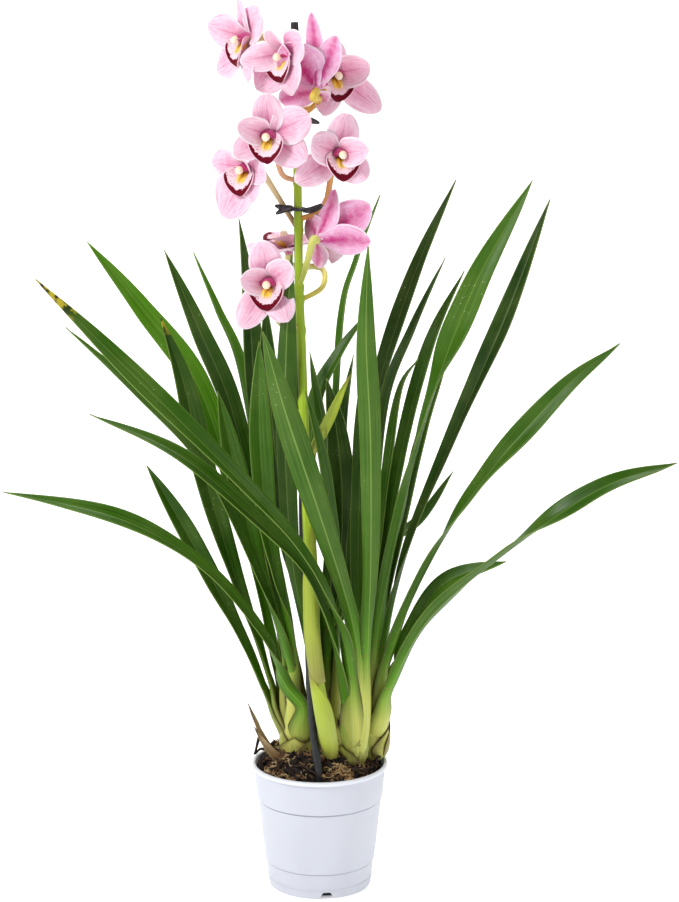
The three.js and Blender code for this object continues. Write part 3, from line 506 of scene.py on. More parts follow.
    # the joint's brown line
    near = addNode(tree, "ShaderNodeMath", {"operation": "ABSOLUTE"}, {0: extra["X"]})
    line = addNode(tree, "ShaderNodeMapRange", {1: 0.0002, 2: 0.0007, 3: 0.5, 4: 0}, {0: near})
    # pale specks, and a yellow tip with black blotches where a leaf is withering
    spots = addNode(tree, "ShaderNodeTexVoronoi", {"Scale": 240}, {"Vector": where})
    speck = addNode(tree, "ShaderNodeMapRange", {1: 0.08, 2: 0.14, 3: 0.5, 4: 0},
                    {0: spots.outputs["Distance"]})
    rare = addNode(tree, "ShaderNodeMapRange", {1: 0.55, 2: 0.7}, {0: cloud.outputs["Fac"]})
    speckle = addNode(tree, "ShaderNodeMath", {"operation": "MULTIPLY"}, {0: speck, 1: rare})
    for share, tone in ((line, "#8a6f3c"), (speckle, "#d9e0b4")):
        colour = addNode(tree, "ShaderNodeMix", {"data_type": "RGBA", 7: linear(tone)},
                         {0: share, 6: colour}).outputs[2]
    past = addNode(tree, "ShaderNodeMath", {"operation": "SUBTRACT"},
                   {0: held["withered"]["Fac"], 1: held["toTip"]["Fac"]})
    dying = addNode(tree, "ShaderNodeMapRange", {"interpolation_type": "SMOOTHSTEP", 1: 0.0, 2: 0.03},
                    {0: past})
    blotch = addNode(tree, "ShaderNodeTexNoise", {"Scale": 120, "Detail": 2}, {"Vector": where})
    black = addNode(tree, "ShaderNodeMapRange", {1: 0.44, 2: 0.52}, {0: blotch.outputs["Fac"]})
    sick = addNode(tree, "ShaderNodeMix", {"data_type": "RGBA", 6: linear("#b3a52e"), 7: linear("#1e1a0e")},
                   {0: black})
    colour = addNode(tree, "ShaderNodeMix", {"data_type": "RGBA"},
                     {0: dying, 6: colour, 7: sick.outputs[2]}).outputs[2]
    tree.links.new(colour, surface.inputs["Base Color"])
    bump = addNode(tree, "ShaderNodeBump", {"Strength": 0.35, "Distance": 0.0004},
                   {"Height": veins.outputs["Fac"]})
    tree.links.new(bump.outputs[0], surface.inputs["Normal"])
    return made


# Waxy orchid tepal: pale pink, deeper along the middle and at the claw, near white at its rim.
def tepalFinish(name, back):
    made, tree, surface = newFinish(name, {
        "Roughness": 0.5, "IOR": 1.4, "Subsurface Weight": 0.12, "Subsurface Radius": (0.004, 0.0016, 0.002),
        "Subsurface Scale": 1, "Sheen Weight": 0.15})
    held = {n: addNode(tree, "ShaderNodeAttribute", {"attribute_name": n}).outputs["Fac"]
            for n in ("along", "across", "edge", "share")}
    middle = addNode(tree, "ShaderNodeMath", {"operation": "ABSOLUTE"}, {0: held["across"]})
    deep, pale, stripe, rimTone = (("#cc348c", "#efb8da", "#b91c74", "#f9e6f2") if back else
                                   ("#dc80aa", "#f8d3e2", "#b53a76", "#fdf2f7"))
    centre = addNode(tree, "ShaderNodeMapRange",
                     {"interpolation_type": "SMOOTHSTEP", 1: 0.05, 2: 0.75 if back else 0.95, 3: 1, 4: 0},
                     {0: middle})
    claw = addNode(tree, "ShaderNodeMapRange", {1: 0.05, 2: 1.0, 3: 1, 4: 0.6 if back else 0.12},
                   {0: held["share"]})
    depth = addNode(tree, "ShaderNodeMath", {"operation": "MULTIPLY"}, {0: centre, 1: claw})
    colour = addNode(tree, "ShaderNodeMix", {"data_type": "RGBA", 6: linear(pale), 7: linear(deep)},
                     {0: depth}).outputs[2]
    # veins about 1.5 mm apart that fan out with the blade
    stretched = addNode(tree, "ShaderNodeMath", {"operation": "MULTIPLY", 1: 7}, {0: held["across"]})
    drawn = addNode(tree, "ShaderNodeMath", {"operation": "MULTIPLY", 1: 30}, {0: held["along"]})
    where = addNode(tree, "ShaderNodeCombineXYZ", links={"X": stretched, "Y": drawn})
    veins = addNode(tree, "ShaderNodeTexNoise", {"Scale": 1.5, "Detail": 2, "Roughness": 0.55},
                    {"Vector": where})
    fine = addNode(tree, "ShaderNodeMapRange", {1: 0.48, 2: 0.7, 3: 0, 4: 0.55}, {0: veins.outputs["Fac"]})
    mottle = addNode(tree, "ShaderNodeTexNoise", {"Scale": 220, "Detail": 2},
                     {"Vector": addNode(tree, "ShaderNodeTexCoord").outputs["Object"]})
    light = addNode(tree, "ShaderNodeMapRange", {1: 0.42, 2: 0.75, 3: 0, 4: 0.36}, {0: mottle.outputs["Fac"]})
    # the middle vein
    rib = addNode(tree, "ShaderNodeMapRange",
                  {1: 0.02, 2: 0.3 if back else 0.07, 3: 0.75 if back else 0.55, 4: 0},
                  {0: middle})
    fade = addNode(tree, "ShaderNodeMapRange", {1: 0.35, 2: 0.95, 3: 1, 4: 0}, {0: held["share"]})
    ribShare = addNode(tree, "ShaderNodeMath", {"operation": "MULTIPLY"}, {0: rib, 1: fade})
    rim = addNode(tree, "ShaderNodeMapRange",
                  {"interpolation_type": "SMOOTHSTEP", 1: 0.0001, 2: 0.0016, 3: 0.8, 4: 0},
                  {0: held["edge"]})
    for share, tone in ((fine, "#cf5490"), (light, "#fbe6f0"), (ribShare, stripe), (rim, rimTone)):
        colour = addNode(tree, "ShaderNodeMix", {"data_type": "RGBA", 7: linear(tone)},
                         {0: share, 6: colour}).outputs[2]
    tree.links.new(colour, surface.inputs["Base Color"])
    bump = addNode(tree, "ShaderNodeBump", {"Strength": 0.3, "Distance": 0.0004},
                   {"Height": veins.outputs["Fac"]})
    tree.links.new(bump.outputs[0], surface.inputs["Normal"])
    return made


# The lip's inner face: cream pink with crimson speckles, and a velvet crimson border inside a thin white rim.
def lipFinish():
    made, tree, surface = newFinish("velvetLip", {"Roughness": 0.55, "IOR": 1.4, "Specular IOR Level": 0.12})
    held = {n: addNode(tree, "ShaderNodeAttribute", {"attribute_name": n}).outputs["Fac"]
            for n in ("along", "across", "edge", "share")}
    where = addNode(tree, "ShaderNodeTexCoord").outputs["Object"]
    middle = addNode(tree, "ShaderNodeMath", {"operation": "ABSOLUTE"}, {0: held["across"]})
    yellow = addNode(tree, "ShaderNodeMapRange",
                     {"interpolation_type": "SMOOTHSTEP", 1: 0.14, 2: 0.36, 3: 1, 4: 0},
                     {0: middle})
    throat = addNode(tree, "ShaderNodeMapRange",
                     {"interpolation_type": "SMOOTHSTEP", 1: 0.52, 2: 0.7, 3: 1, 4: 0},
                     {0: held["share"]})
    golden = addNode(tree, "ShaderNodeMath", {"operation": "MULTIPLY"}, {0: yellow, 1: throat})
    colour = addNode(tree, "ShaderNodeMix", {"data_type": "RGBA", 6: linear("#f6d3de"), 7: linear("#f0c244")},
                     {0: golden}).outputs[2]
    dots = addNode(tree, "ShaderNodeTexVoronoi", {"Scale": 620}, {"Vector": where})
    dot = addNode(tree, "ShaderNodeMapRange", {1: 0.22, 2: 0.34, 3: 1, 4: 0}, {0: dots.outputs["Distance"]})
    outer = addNode(tree, "ShaderNodeMapRange", {1: 0.3, 2: 0.5, 3: 0, 4: 0.9}, {0: middle})
    speckle = addNode(tree, "ShaderNodeMath", {"operation": "MULTIPLY"}, {0: dot, 1: outer})
    # the border's inner side is ragged
    rough = addNode(tree, "ShaderNodeTexNoise", {"Scale": 420, "Detail": 2}, {"Vector": where})
    ragged = addNode(tree, "ShaderNodeMath", {"operation": "MULTIPLY_ADD", 1: 0.0052, 2: -0.0026},
                     {0: rough.outputs["Fac"]})
    depth = addNode(tree, "ShaderNodeMath", {"operation": "ADD"}, {0: held["edge"], 1: ragged})
    broad = addNode(tree, "ShaderNodeMapRange",
                    {"interpolation_type": "SMOOTHSTEP", 1: 0.4, 2: 0.92, 3: 0.0024,
                                                 4: 0.0071}, {0: held["share"]})
    inner = addNode(tree, "ShaderNodeMath", {"operation": "SUBTRACT"}, {0: broad, 1: depth})
    band = addNode(tree, "ShaderNodeMapRange", {1: -0.0003, 2: 0.0004}, {0: inner})
    front = addNode(tree, "ShaderNodeMapRange", {"interpolation_type": "SMOOTHSTEP", 1: 0.4, 2: 0.5},
                    {0: held["share"]})
    border = addNode(tree, "ShaderNodeMath", {"operation": "MULTIPLY"}, {0: band, 1: front})
    rim = addNode(tree, "ShaderNodeMapRange", {1: 0.0004, 2: 0.0008, 3: 1, 4: 0}, {0: held["edge"]})
    for share, tone in ((speckle, "#a3204c"), (border, "#66021c"), (rim, "#f4cbdb")):
        colour = addNode(tree, "ShaderNodeMix", {"data_type": "RGBA", 7: linear(tone)},
                         {0: share, 6: colour}).outputs[2]
    tree.links.new(colour, surface.inputs["Base Color"])
    bump = addNode(tree, "ShaderNodeBump", {"Strength": 0.25, "Distance": 0.0004},
                   {"Height": rough.outputs["Fac"]})
    tree.links.new(bump.outputs[0], surface.inputs["Normal"])
    return made


# A colour that changes along a grown piece, with fine streaks along it.
def streakedFinish(name, stops, roughness=0.42, streak=0.16, acrossName="around", bumpStrength=0.25):
    made, tree, surface = newFinish(name, {"Roughness": roughness, "IOR": 1.42})
    held = {n: addNode(tree, "ShaderNodeAttribute", {"attribute_name": n}).outputs["Fac"]
            for n in ("along", "share", acrossName)}
    ramp = addNode(tree, "ShaderNodeValToRGB", links={0: held["share"]})
    setStops(ramp, stops)
    around = addNode(tree, "ShaderNodeMath", {"operation": "MULTIPLY", 1: 26}, {0: held[acrossName]})
    drawn = addNode(tree, "ShaderNodeMath", {"operation": "MULTIPLY", 1: 22}, {0: held["along"]})
    where = addNode(tree, "ShaderNodeCombineXYZ", links={"X": around, "Y": drawn})
    fibres = addNode(tree, "ShaderNodeTexNoise", {"Scale": 1, "Detail": 3}, {"Vector": where})
    tone = addNode(tree, "ShaderNodeMapRange", {1: 0.25, 2: 0.75, 3: 1 - streak, 4: 1 + streak},
                   {0: fibres.outputs["Fac"]})
    colour = addNode(tree, "ShaderNodeVectorMath", {"operation": "SCALE"},
                     {0: ramp.outputs[0], "Scale": tone})
    tree.links.new(colour.outputs[0], surface.inputs["Base Color"])
    bump = addNode(tree, "ShaderNodeBump", {"Strength": bumpStrength, "Distance": 0.0004},
                   {"Height": fibres.outputs["Fac"]})
    tree.links.new(bump.outputs[0], surface.inputs["Normal"])
    return made


# Injection-moulded polypropylene: faint cloudiness, a soft satin skin with flow marks, scuffs near the foot,
# painted shade along the grooves and a painted highlight on the rolled lip.
def potFinish():
    made, tree, surface = newFinish("mouldedPolypropylene", {
        "Roughness": 0.42, "IOR": 1.49, "Subsurface Weight": 0.1, "Subsurface Radius": (0.004, 0.004, 0.005),
        "Subsurface Scale": 1})
    where = addNode(tree, "ShaderNodeTexCoord").outputs["Object"]
    flow = addNode(tree, "ShaderNodeMapping", {"Scale": (18, 18, 5)}, {"Vector": where})
    cloud = addNode(tree, "ShaderNodeTexNoise", {"Scale": 1, "Detail": 4}, {"Vector": flow})
    colour = addNode(tree, "ShaderNodeMix", {"data_type": "RGBA", 6: linear("#c6c9d3"), 7: linear("#d8dbe5")},
                     {0: cloud.outputs["Fac"]})
    height = addNode(tree, "ShaderNodeSeparateXYZ", links={0: where}).outputs["Z"]
    low = addNode(tree, "ShaderNodeMapRange", {1: 0.0, 2: 0.03, 3: 0.25, 4: 0}, {0: height})
    # painted shade along the grooves: the height of each, half its width and how dark it is painted
    for groove, half, share in ((0.0800, 0.0010, 0.5), (0.0234, 0.0008, 0.3), (0.0075, 0.0006, 0.2)):
        gap = addNode(tree, "ShaderNodeMath", {"operation": "SUBTRACT", 1: groove}, {0: height})
        gap = addNode(tree, "ShaderNodeMath", {"operation": "ABSOLUTE"}, {0: gap})
        dustAndShade = addNode(tree, "ShaderNodeMapRange", {1: half * 0.3, 2: half, 3: share, 4: 0}, {0: gap})
        colour = addNode(tree, "ShaderNodeMix", {"data_type": "RGBA", 7: linear("#9496a8")},
                         {0: dustAndShade, 6: colour.outputs[2]})
    # painted highlight: the rolled lip at the top is painted lighter
    lip = addNode(tree, "ShaderNodeMapRange", {1: 0.1075, 2: 0.109, 3: 0, 4: 0.8}, {0: height})
    colour = addNode(tree, "ShaderNodeMix", {"data_type": "RGBA", 7: linear("#eceef6")},
                     {0: lip, 6: colour.outputs[2]})
    dirt = addNode(tree, "ShaderNodeTexNoise", {"Scale": 160, "Detail": 3}, {"Vector": where})
    scuff = addNode(tree, "ShaderNodeMath", {"operation": "MULTIPLY"}, {0: low, 1: dirt.outputs["Fac"]})
    colour = addNode(tree, "ShaderNodeMix", {"data_type": "RGBA", 7: linear("#b9b7bd")},
                     {0: scuff, 6: colour.outputs[2]})
    tree.links.new(colour.outputs[2], surface.inputs["Base Color"])
    gloss = addNode(tree, "ShaderNodeMapRange", {1: 0.3, 2: 0.7, 3: 0.36, 4: 0.5}, {0: cloud.outputs["Fac"]})
    tree.links.new(gloss.outputs[0], surface.inputs["Roughness"])
    skin = addNode(tree, "ShaderNodeTexNoise", {"Scale": 900, "Detail": 2}, {"Vector": where})
    bump = addNode(tree, "ShaderNodeBump", {"Strength": 0.08, "Distance": 0.0002},
                   {"Height": skin.outputs["Fac"]})
    tree.links.new(bump.outputs[0], surface.inputs["Normal"])
    return made


# Composted bark: each chip its own brown, from nearly black and wet to dry tan.
def barkFinish(name, stops):
    made, tree, surface = newFinish(name, {"Roughness": 0.85, "IOR": 1.45})
    where = addNode(tree, "ShaderNodeTexCoord").outputs["Object"]
    tone = addNode(tree, "ShaderNodeAttribute", {"attribute_name": "tone"}).outputs["Fac"]
    grain = addNode(tree, "ShaderNodeTexNoise", {"Scale": 420, "Detail": 4}, {"Vector": where})
    mixed = addNode(tree, "ShaderNodeMath", {"operation": "MULTIPLY_ADD", 1: 0.3},
                    {0: grain.outputs["Fac"], 2: tone})
    shifted = addNode(tree, "ShaderNodeMath", {"operation": "SUBTRACT", 1: 0.15}, {0: mixed})
    ramp = addNode(tree, "ShaderNodeValToRGB", links={0: shifted})
    setStops(ramp, stops)
    tree.links.new(ramp.outputs[0], surface.inputs["Base Color"])
    bump = addNode(tree, "ShaderNodeBump", {"Strength": 0.6, "Distance": 0.0006},
                   {"Height": grain.outputs["Fac"]})
    tree.links.new(bump.outputs[0], surface.inputs["Normal"])
    return made


# Black polystyrene, lightly frosted, with pale rub marks; where the pale tone is much lighter than the body,
# as on the grey clips, the patches are also a painted sheen.
def blackPlasticFinish(name, body, paleRubAndSheen):
    made, tree, surface = newFinish(name, {"Roughness": 0.42, "IOR": 1.5})
    where = addNode(tree, "ShaderNodeTexCoord").outputs["Object"]
    rubAndSheenNoise = addNode(tree, "ShaderNodeTexNoise", {"Scale": 240, "Detail": 4}, {"Vector": where})
    share = addNode(tree, "ShaderNodeMapRange", {1: 0.45, 2: 0.8, 3: 0, 4: 0.7}, {0: rubAndSheenNoise.outputs["Fac"]})
    colour = addNode(tree, "ShaderNodeMix", {"data_type": "RGBA", 6: linear(body), 7: linear(paleRubAndSheen)},
                     {0: share})
    tree.links.new(colour.outputs[2], surface.inputs["Base Color"])
    gloss = addNode(tree, "ShaderNodeMapRange", {1: 0.3, 2: 0.7, 3: 0.3, 4: 0.55}, {0: rubAndSheenNoise.outputs["Fac"]})
    tree.links.new(gloss.outputs[0], surface.inputs["Roughness"])
    bump = addNode(tree, "ShaderNodeBump", {"Strength": 0.2, "Distance": 0.0003},
                   {"Height": rubAndSheenNoise.outputs["Fac"]})
    tree.links.new(bump.outputs[0], surface.inputs["Normal"])
    return made


finishes = {
    "leafUpper": leafFinish("waxyLeafUpper", False),
    "leafUnder": leafFinish("waxyLeafUnder", True),
    "tepalFront": tepalFinish("waxyTepalFront", False),
    "tepalBack": tepalFinish("waxyTepalBack", True),
    "lip": lipFinish(),
    "lipBack": streakedFinish("lipOutside", [(0, "#f2d5c0"), (0.5, "#f3cfdd"), (1, "#f6dbe6")], 0.55, 0.08,
                              "across"),
    "callus": streakedFinish("yellowCallus", [(0, "#b9691f"), (0.4, "#eeb93a"), (1, "#f5dd78")], 0.45, 0.15),
    "column": streakedFinish("archedColumn",
                             [(0, "#e3a5c4"), (0.5, "#c8588f"), (0.85, "#b5386f"), (1, "#9c2450")],
                             0.3, 0.2, "across"),
    "columnInside": streakedFinish("speckledColumnFace", [(0, "#efc4d4"), (0.6, "#e29dba"), (0.9, "#f0c8cc"),
                                                          (1, "#c9547a")], 0.35, 0.3, "across"),
    "antherCap": streakedFinish("waxyAntherCap", [(0, "#f1dfae"), (1, "#fbf3da")], 0.35, 0.05),
    "stem": streakedFinish("fleshyStem", [(0, "#a4b43a"), (0.4, "#aac632"), (1, "#90b62a")], 0.36, 0.24),
    "bract": streakedFinish("fleshyBract",
                            [(0, "#8f8d42"), (0.3, "#a3b040"), (0.8, "#a7b936"), (1, "#857636")],
                            0.42, 0.14, "across"),
    "bulb": streakedFinish("ribbedPseudobulb", [(0, "#77683a"), (0.25, "#8f9440"), (1, "#879a34")], 0.5, 0.3),
    "youngShoot": streakedFinish("youngShootScales", [(0, "#a9a55a"), (0.7, "#b7b860"), (0.82, "#6b4a30"),
                                                      (1, "#3a2518")], 0.6, 0.25),
    "drySheath": streakedFinish("witheredSheath", [(0, "#9a7a54"), (0.6, "#bfa680"), (1, "#6b5038")], 0.85,
                                0.35,
                                "across", 0.6),
    "root": barkFinish("dryRoot", [(0, "#2a1b14"), (0.5, "#6b4d33"), (1, "#b39366")]),
    "bark": barkFinish("compostedBark",
                       [(0, "#100a08"), (0.5, "#24160f"), (0.74, "#432a1b"), (0.9, "#7d5a3a"),
                                         (1.0, "#bd9c70")]),
    "coir": barkFinish("coirFibre", [(0, "#5b4026"), (0.5, "#a5814f"), (1, "#d9bd8a")]),
    "pot": potFinish(),
    "stake": blackPlasticFinish("blackStakePlastic", "#0e0f11", "#2e3034"),
    # the clips' pale patches are partly a painted sheen
    "clip": blackPlasticFinish("greyClipPlastic", "#24252a", "#6d6f75"),
}
print("finishes made")

# The pot, in millimetres.
pot = {"height": 112, "footRadius": 45, "wallTop": 57.8, "rimRadius": 60, "rimDepth": 4, "collarFoot": 80.5,
       "wall": 1.6, "floor": 2, "notches": 4, "notchAngle": -82, "notchHeight": 6.5,
       "notchFoot": 13, "notchTop": 7, "drainHoles": 6, "drainRadius": 3.6, "drainCircle": 27, "sides": 144,
       "sharpAngle": 35,
       # heights, and how far the outside steps out there from the tapered wall
       "bands": [(7.4, 0), (7.7, 0.35), (8.6, 0.35), (8.9, 0), (16, 0), (22.8, 0), (23.0, -0.4), (23.7, -0.4),
                 (23.9, 0.6), (40, 0.7), (60, 0.6), (76, 0.4), (79.2, 0.3), (79.5, -0.3)]}


def wallRadius(z):
    return lerp(pot["footRadius"], pot["wallTop"], z / pot["height"])


# Faces between neighbouring rings. A ring of one point closes an end.
def skin(body, rings, sides):
    for low, high in zip(rings, rings[1:]):
        for k in range(sides):
            after = k + 1
            corners = [low[k % len(low)], low[after % len(low)], high[after % len(high)], high[k % len(high)]]
            unique = [v for i, v in enumerate(corners) if v not in corners[:i]]
            if len(unique) > 2:
                body.faces.new(unique)


def lathe(name, profile, sides):
    made = bpy.data.meshes.new(name)
    body = bmesh.new()
    rings = []
    for r, z in profile:
        if r < 1e-6:
            rings.append([body.verts.new((0, 0, z * mm))])
        else:
            rings.append([body.verts.new((math.cos(a) * r * mm, math.sin(a) * r * mm, z * mm))
                          for a in (2 * math.pi * k / sides for k in range(sides))])
    skin(body, rings, sides)
    bmesh.ops.recalc_face_normals(body, faces=body.faces)
    body.to_mesh(made)
    body.free()
    return addObject(name, made, soft=True)


def roundCorner(centre, radius, start, end, count=5):
    return [(centre[0] + radius * math.cos(math.radians(lerp(start, end, k / count))),
             centre[1] + radius * math.sin(math.radians(lerp(start, end,
                                                             k / count)))) for k in range(count + 1)]


def makePot():
    height, rim, depth = pot["height"], pot["rimRadius"], pot["rimDepth"]
    foot, collar = pot["collarFoot"], pot["collarFoot"] + 1
    outer = [(0, 0), (38, 0)] + roundCorner((wallRadius(0) - 1.4, 1.4), 1.4, -90, -5, 6)
    outer += [(wallRadius(z) + step, z) for z, step in
              pot["bands"] + [(foot - 0.1, -0.3), (foot + 0.1, 1.3), (collar, 1.4), (90, 1.1), (100, 0.8),
                              (height - depth - 1.6, 0.4), (height - depth - 0.2, 0.2)]]
    outer += [(rim - 1.0, height - depth), (rim - 0.3, height - depth + 0.3)]
    outer += roundCorner((rim - 1.4, height - 1.6), 1.5, 0, 90, 6)
    outer += roundCorner((rim - 2.2, height - 1.2), 1.1, 90, 180, 4)
    inner = [(wallRadius(z) - pot["wall"], z) for z in (height - depth, 80, 50, 20, pot["floor"] + 1.2)]
    inner += [(wallRadius(0) - pot["wall"] - 1.2, pot["floor"]), (0, pot["floor"])]
    body = lathe("pot.nursery", outer + inner, pot["sides"])
    cutters = bmesh.new()
    for k in range(pot["notches"]):
        angle = math.radians(pot["notchAngle"] + 360 * k / pot["notches"])
        turn = Matrix.Rotation(angle, 4, "Z")
        corners = []
        for r in (pot["footRadius"] - 7, pot["footRadius"] + 7):
            for w, z in ((-pot["notchFoot"] / 2, -1), (pot["notchFoot"] / 2, -1),
                         (pot["notchTop"] / 2 + 0.6, pot["notchHeight"] - 1.2),
                         (pot["notchTop"] / 2 - 0.8, pot["notchHeight"]),
                         (-pot["notchTop"] / 2 + 0.8, pot["notchHeight"]),
                         (-pot["notchTop"] / 2 - 0.6, pot["notchHeight"] - 1.2)):
                corners.append(cutters.verts.new(turn @ (Vector((r, w, z)) * mm)))
        near, far = corners[:6], corners[6:]
        sides = [(near[i], far[i], far[(i + 1) % 6], near[(i + 1) % 6]) for i in range(6)]
        for ring in [near, far[::-1]] + sides:
            cutters.faces.new(ring)
    for k in range(pot["drainHoles"]):
        angle = 2 * math.pi * (k + 0.5) / pot["drainHoles"]
        centre = Vector((math.cos(angle), math.sin(angle), 0)) * pot["drainCircle"] * mm
        bmesh.ops.create_cone(cutters, cap_ends=True, segments=24, radius1=pot["drainRadius"] * mm,
                              radius2=pot["drainRadius"] * mm, depth=12 * mm,
                              matrix=Matrix.Translation(centre))
    bmesh.ops.recalc_face_normals(cutters, faces=cutters.faces)
    cutterMesh = bpy.data.meshes.new("pot.cutters")
    cutters.to_mesh(cutterMesh)
    cutter = addObject("pot.cutters", cutterMesh)
    cut = body.modifiers.new("cut", "BOOLEAN")
    cut.operation, cut.object, cut.solver = "DIFFERENCE", cutter, "EXACT"
    bpy.context.view_layer.update()
    done = bpy.data.meshes.new_from_object(body.evaluated_get(bpy.context.evaluated_depsgraph_get()))
    body.modifiers.clear()
    body.data = done
    bpy.data.objects.remove(cutter)
    done.materials.clear()
    done.materials.append(finishes["pot"])
    for face in done.polygons:
        face.use_smooth = True
    done.set_sharp_from_angle(angle=math.radians(pot["sharpAngle"]))
    return body


place(makePot(), "pot_plastic", "pot")
print("pot made")

# The growing mix: densities are counts per square metre.
soil = {"edge": 107, "mound": 124, "flatShare": 0.4, "slopeShare": 0.48, "radius": 55.4,
        "strewn": 50.5, "rings": 40, "sides": 120, "chips": 52000, "chipSize": 8.5, "crumbs": 210000,
        "crumbSize": 3.2, "fibres": 34000, "fibreLength": 13, "fibreRadius": 0.32,
        # below the top: heights, and the gap to the pot's outside
        "foot": ((60, 2.4), (3, 2.6))}


def soilHeight(x, y):
    share = math.hypot(x, y) / pot["rimRadius"]
    mound = (soil["mound"] - soil["edge"]) * (1 - smooth((share - soil["flatShare"]) / soil["slopeShare"]))
    hump = 8 * math.exp(-((x + 42) ** 2 + (y - 22) ** 2) / 220)
    rough = 2.2 * noise.noise(Vector((x, y, 0)) / 9) + 1.0 * noise.noise(Vector((x, y, 7)) / 3.2)
    return soil["edge"] + mound + hump + rough * (1 - smooth((share - 0.8) / 0.12)) - 0.6


def makeSoil():
    body = bmesh.new()
    middle = body.verts.new((0, 0, soilHeight(0, 0) * mm))
    rings = [[middle]]
    for i in range(1, soil["rings"] + 1):
        r = soil["radius"] * i / soil["rings"]
        rings.append([body.verts.new((r * math.cos(a) * mm, r * math.sin(a) * mm,
                                      soilHeight(r * math.cos(a), r * math.sin(a)) * mm))
                      for a in (2 * math.pi * k / soil["sides"] for k in range(soil["sides"]))])
    for z, gap in soil["foot"]:
        r = wallRadius(z) - gap
        rings.append([body.verts.new((r * math.cos(a) * mm, r * math.sin(a) * mm, z * mm))
                      for a in (2 * math.pi * k / soil["sides"] for k in range(soil["sides"]))])
    rings.append([body.verts.new((0, 0, soil["foot"][-1][0] * mm))])
    for low, high in zip(rings, rings[1:]):
        for k in range(soil["sides"]):
            corners = [low[k % len(low)], high[k % len(high)], high[(k + 1) % len(high)],
                       low[(k + 1) % len(low)]]
            unique = [v for i, v in enumerate(corners) if v not in corners[:i]]
            body.faces.new(unique)
    bed = bpy.data.meshes.new("soil.bed")
    bmesh.ops.recalc_face_normals(body, faces=body.faces)
    body.to_mesh(bed)
    crust = body.copy()
    loose = [f for f in crust.faces if f.normal.z < 0.2 or f.calc_center_median().z < 0.1
             or f.calc_center_median().xy.length > soil["strewn"] * mm]
    bmesh.ops.delete(crust, geom=loose, context="FACES")
    surfaces = []
    for name in ("soil.chips", "soil.crumbs", "soil.fibres"):
        surfaces.append(bpy.data.meshes.new(name))
        crust.to_mesh(surfaces[-1])
    crust.free()
    body.free()
    bed.materials.append(finishes["bark"])
    solid = addObject("soil.bed", bed)
    chips = grow("soil.chips", "scatteredChips", surfaces[0],
                 {"Density": float(soil["chips"]), "Chip size": soil["chipSize"] * mm, "Flatness": 0.3,
                  "Seed": 3,
                  "Finish": finishes["bark"]})
    crumbs = grow("soil.crumbs", "scatteredChips", surfaces[1],
                  {"Density": float(soil["crumbs"]), "Chip size": soil["crumbSize"] * mm, "Flatness": 0.45,
                   "Seed": 8,
                   "Finish": finishes["bark"]})
    fibres = grow("soil.fibres", "scatteredFibres", surfaces[2],
                  {"Density": float(soil["fibres"]), "Fibre length": soil["fibreLength"] * mm,
                   "Fibre radius": soil["fibreRadius"] * mm, "Seed": 5, "Finish": finishes["coir"]})
    return joinPieces("soil.barkMix", [solid, chips, crumbs, fibres])


# dry roots that show on top: where each starts and ends, and its radius
roots = ([(-40, 18, 122), (-58, 12, 113), 2.0], [(-44, 6, 121), (-52, -16, 112), 1.6],
         [(-50, 26, 124), (-57, 8, 117), 1.8], [(-30, -14, 122), (-40, -34, 113), 1.5],
         [(50, -6, 118), (54, -16, 112), 1.5], [(56, 8, 114), (52, 20, 118), 1.2],
         [(30, -34, 117), (44, -30, 114), 1.3], [(-20, -36, 119), (6, -48, 114), 1.2])


def rootPieces():
    chance = random.Random(12)
    made = []
    for k, (a, b, radius) in enumerate(roots):
        a, b = Vector(a), Vector(b)
        points = [a + (b - a) * t + Vector([chance.uniform(-3, 3) for _ in range(3)]) for t in (0, 0.3,
                                                                                                0.65, 1)]
        made.append(tube(f"root.{k}", smoothPath(points, 22),
                         [radius * lerp(1, 0.45, i / 21) for i in range(22)],
                         finishes["root"], 10))
    return made


# dry papery scraps of old sheath: most lie round the left bulb, the last few at the front right
scraps = {"count": 15, "last": 4, "left": ((-42, -20), (-30, 10)), "right": ((14, 36), (-32, -20)),
          "lift": 2.2,
          "thickness": 0.4}


def scrapPieces():
    chance = random.Random(31)
    made = []
    for k in range(scraps["count"]):
        x, y = [chance.uniform(*span) for span in scraps["left"]]
        if k >= scraps["count"] - scraps["last"]:
            x, y = [chance.uniform(*span) for span in scraps["right"]]
        start = Vector((x, y, soilHeight(x, y) + scraps["lift"]))
        heading = chance.uniform(0, 6.28)
        step = Vector((math.cos(heading), math.sin(heading), chance.uniform(0.0, 0.35))) * chance.uniform(4,
                                                                                                          7)
        path = smoothPath([start, start + step, start + step * 2 + Vector((0, 0, chance.uniform(-2, 2)))], 12)
        sections = [(chance.uniform(1.2, 2.6) * math.sin(math.pi * (0.1 + 0.8 * i / 11)) ** 0.6, 5, 0.8)
                    for i in range(12)]
        made.append(blade(f"scrap.{k}", path, [Vector((0, -0.5, 0.85))] * 12, sections,
                          (finishes["drySheath"], finishes["drySheath"]), scraps["thickness"], 7, 2.0, 200,
                          k))
    return made


# tufts of coconut fibre: one at the front, and a smaller one at the back left
tufts = [{"at": (17, -36), "reach": (11, 6), "density": 520000.0},
         {"at": (-37, 20), "reach": (8, 6), "density": 420000.0}]
tuftForm = {"lift": 1.2, "height": 3.2, "rows": 6, "fibreLength": 7.2, "fibreRadius": 0.42}


